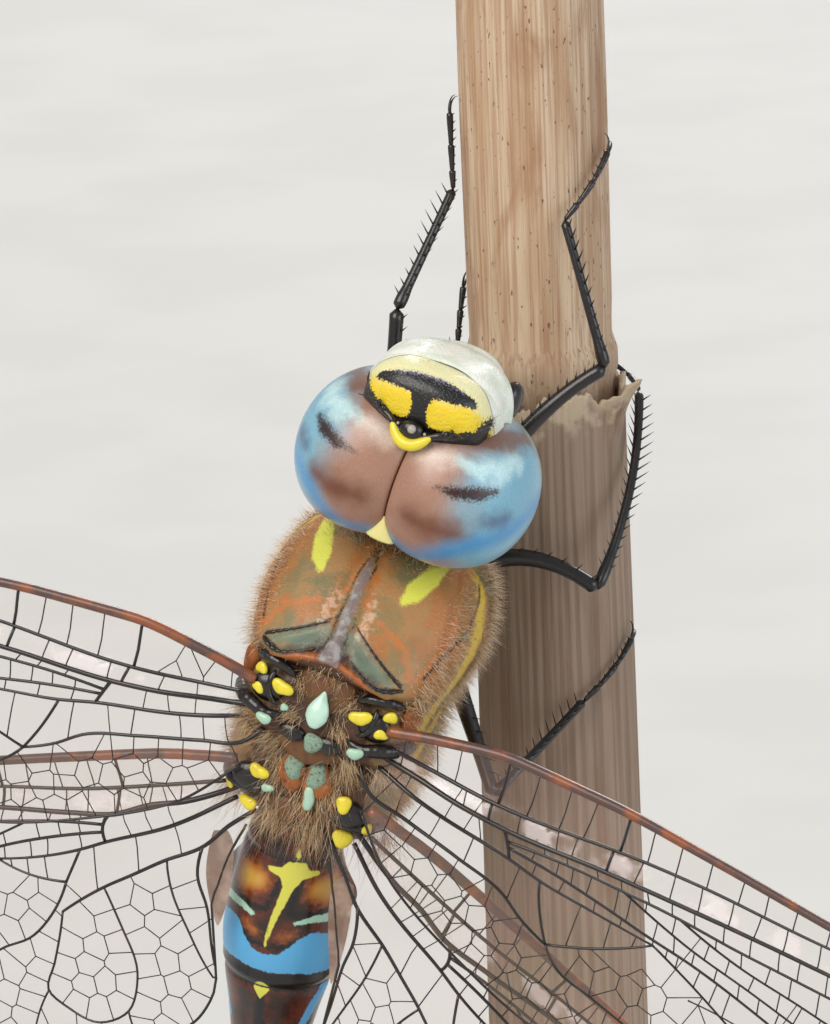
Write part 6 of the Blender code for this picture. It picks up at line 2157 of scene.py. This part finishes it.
    def build_veins(self) -> None:
        """The costa, the long veins and the margin as tapered tubes."""
        self.add("costa", self.tube("costa", 0.2, 0.08, 12), COSTA_CHITIN)
        tubes = [self.tube("margin", 0.05, 0.04)]
        tubes += [self.tube(vein.name, 0.9 * vein.root_radius, 0.85 * vein.end_radius)
            for vein in self.plan.veins]
        low, high = self.net()
        thin = np.full(len(low), 0.022)
        for rungs in self.plan.rungs:
            top, bottom = self.rung_ends(rungs)
            thick = np.full(len(top), 0.027)
            if "subcosta" in (rungs.ahead, rungs.behind):
                for place in self.plan.thick_rungs:
                    thick[np.abs(top[:, 0] - place).argmin()] = 0.06
            low, high = np.concatenate((low, top)), np.concatenate((high, bottom))
            thin = np.concatenate((thin, thick))
        share = np.linspace(0.0, 1.0, 4)[None, :, None]
        paths = self.lift(low[:, None] + (high - low)[:, None] * share)
        tubes.append(tube_shell(paths, np.repeat(thin[:, None], 4, axis=1), self.frame.axes[:, 2], 5))
        self.add("veins", Shell.join(tubes), VEIN_CHITIN)

    def build_stigma(self) -> None:
        """The opaque cell: a cushion between the costa and the radius."""
        span = np.linspace(*self.plan.stigma, 24)[:, None]
        lead, behind = self.at("costa", span) - 0.04, self.at("radius", span) + 0.02
        lanes = np.linspace(0.0, 1.0, 9)[None, :]
        flat = np.stack((span + 0.25 * (lanes - 0.5), lead + (behind - lead) * lanes), axis=-1)
        swollen = 0.06 * np.sin(np.pi * lanes) * np.sin(np.pi * np.linspace(0, 1, 24))[:, None] ** 0.4 + 0.01
        ring = np.concatenate((self.lift(flat, swollen), self.lift(flat, -swollen)[:, ::-1]), axis=1)
        self.add("stigma", grid_shell(ring[:, ::-self.side.value], around=True, caps=True), STIGMA)

    def build_membranule(self) -> None:
        """The brown flap between the hinge and the first anal vein of a hind wing."""
        down = np.linspace(0.0, 1.0, 26)[:, None]
        across = np.linspace(0.0, 1.0, 14)[None, :]
        v = -2.6 - 3.5 * down + 0.0 * across
        half = 0.5 * np.sin(np.pi * (0.05 + 0.945 * down) ** 0.7) ** 0.7
        u = 1.0 + 0.62 * down + half * (2.0 * across - 1.0)
        grid = self.lift(np.stack((u, v), axis=-1), 0.03)
        self.add("membranule", grid_shell(grid[:, ::-self.side.value]), MEMBRANULE)

    def build(self) -> None:
        """Makes the sheet, the veins and the stigma, and on the hind wings the flap."""
        self.build_sheet()
        self.build_veins()
        self.build_stigma()
        if self.plan is HIND:
            self.build_membranule()


def main() -> None:
    """Builds the studio and the model, piece by piece."""
    logging.basicConfig(level=logging.INFO, format="%(name)s %(message)s")
    Studio().build()
    Perch().build()
    upright = turn_about(1, BODY_LEAN) @ turn_about(0, 90.0 + BODY_PITCH)
    body = Placement(np.array(BODY_ORIGIN), upright @ turn_about(1, -BODY_ROLL))
    nod = turn_about(2, HEAD_TURN) @ turn_about(0, HEAD_PITCH)
    head = body.carry(HEAD_CENTRE, nod @ turn_about(1, -HEAD_ROLL))
    Head(head).build()
    Trunk(body).build()
    Abdomen(body).build()
    for side in Side:
        Wing(body, side, FORE).build()
        Wing(body, side, HIND).build()
    for leg in LEGS:
        leg.build(body)


if __name__ == "__main__":
    main()
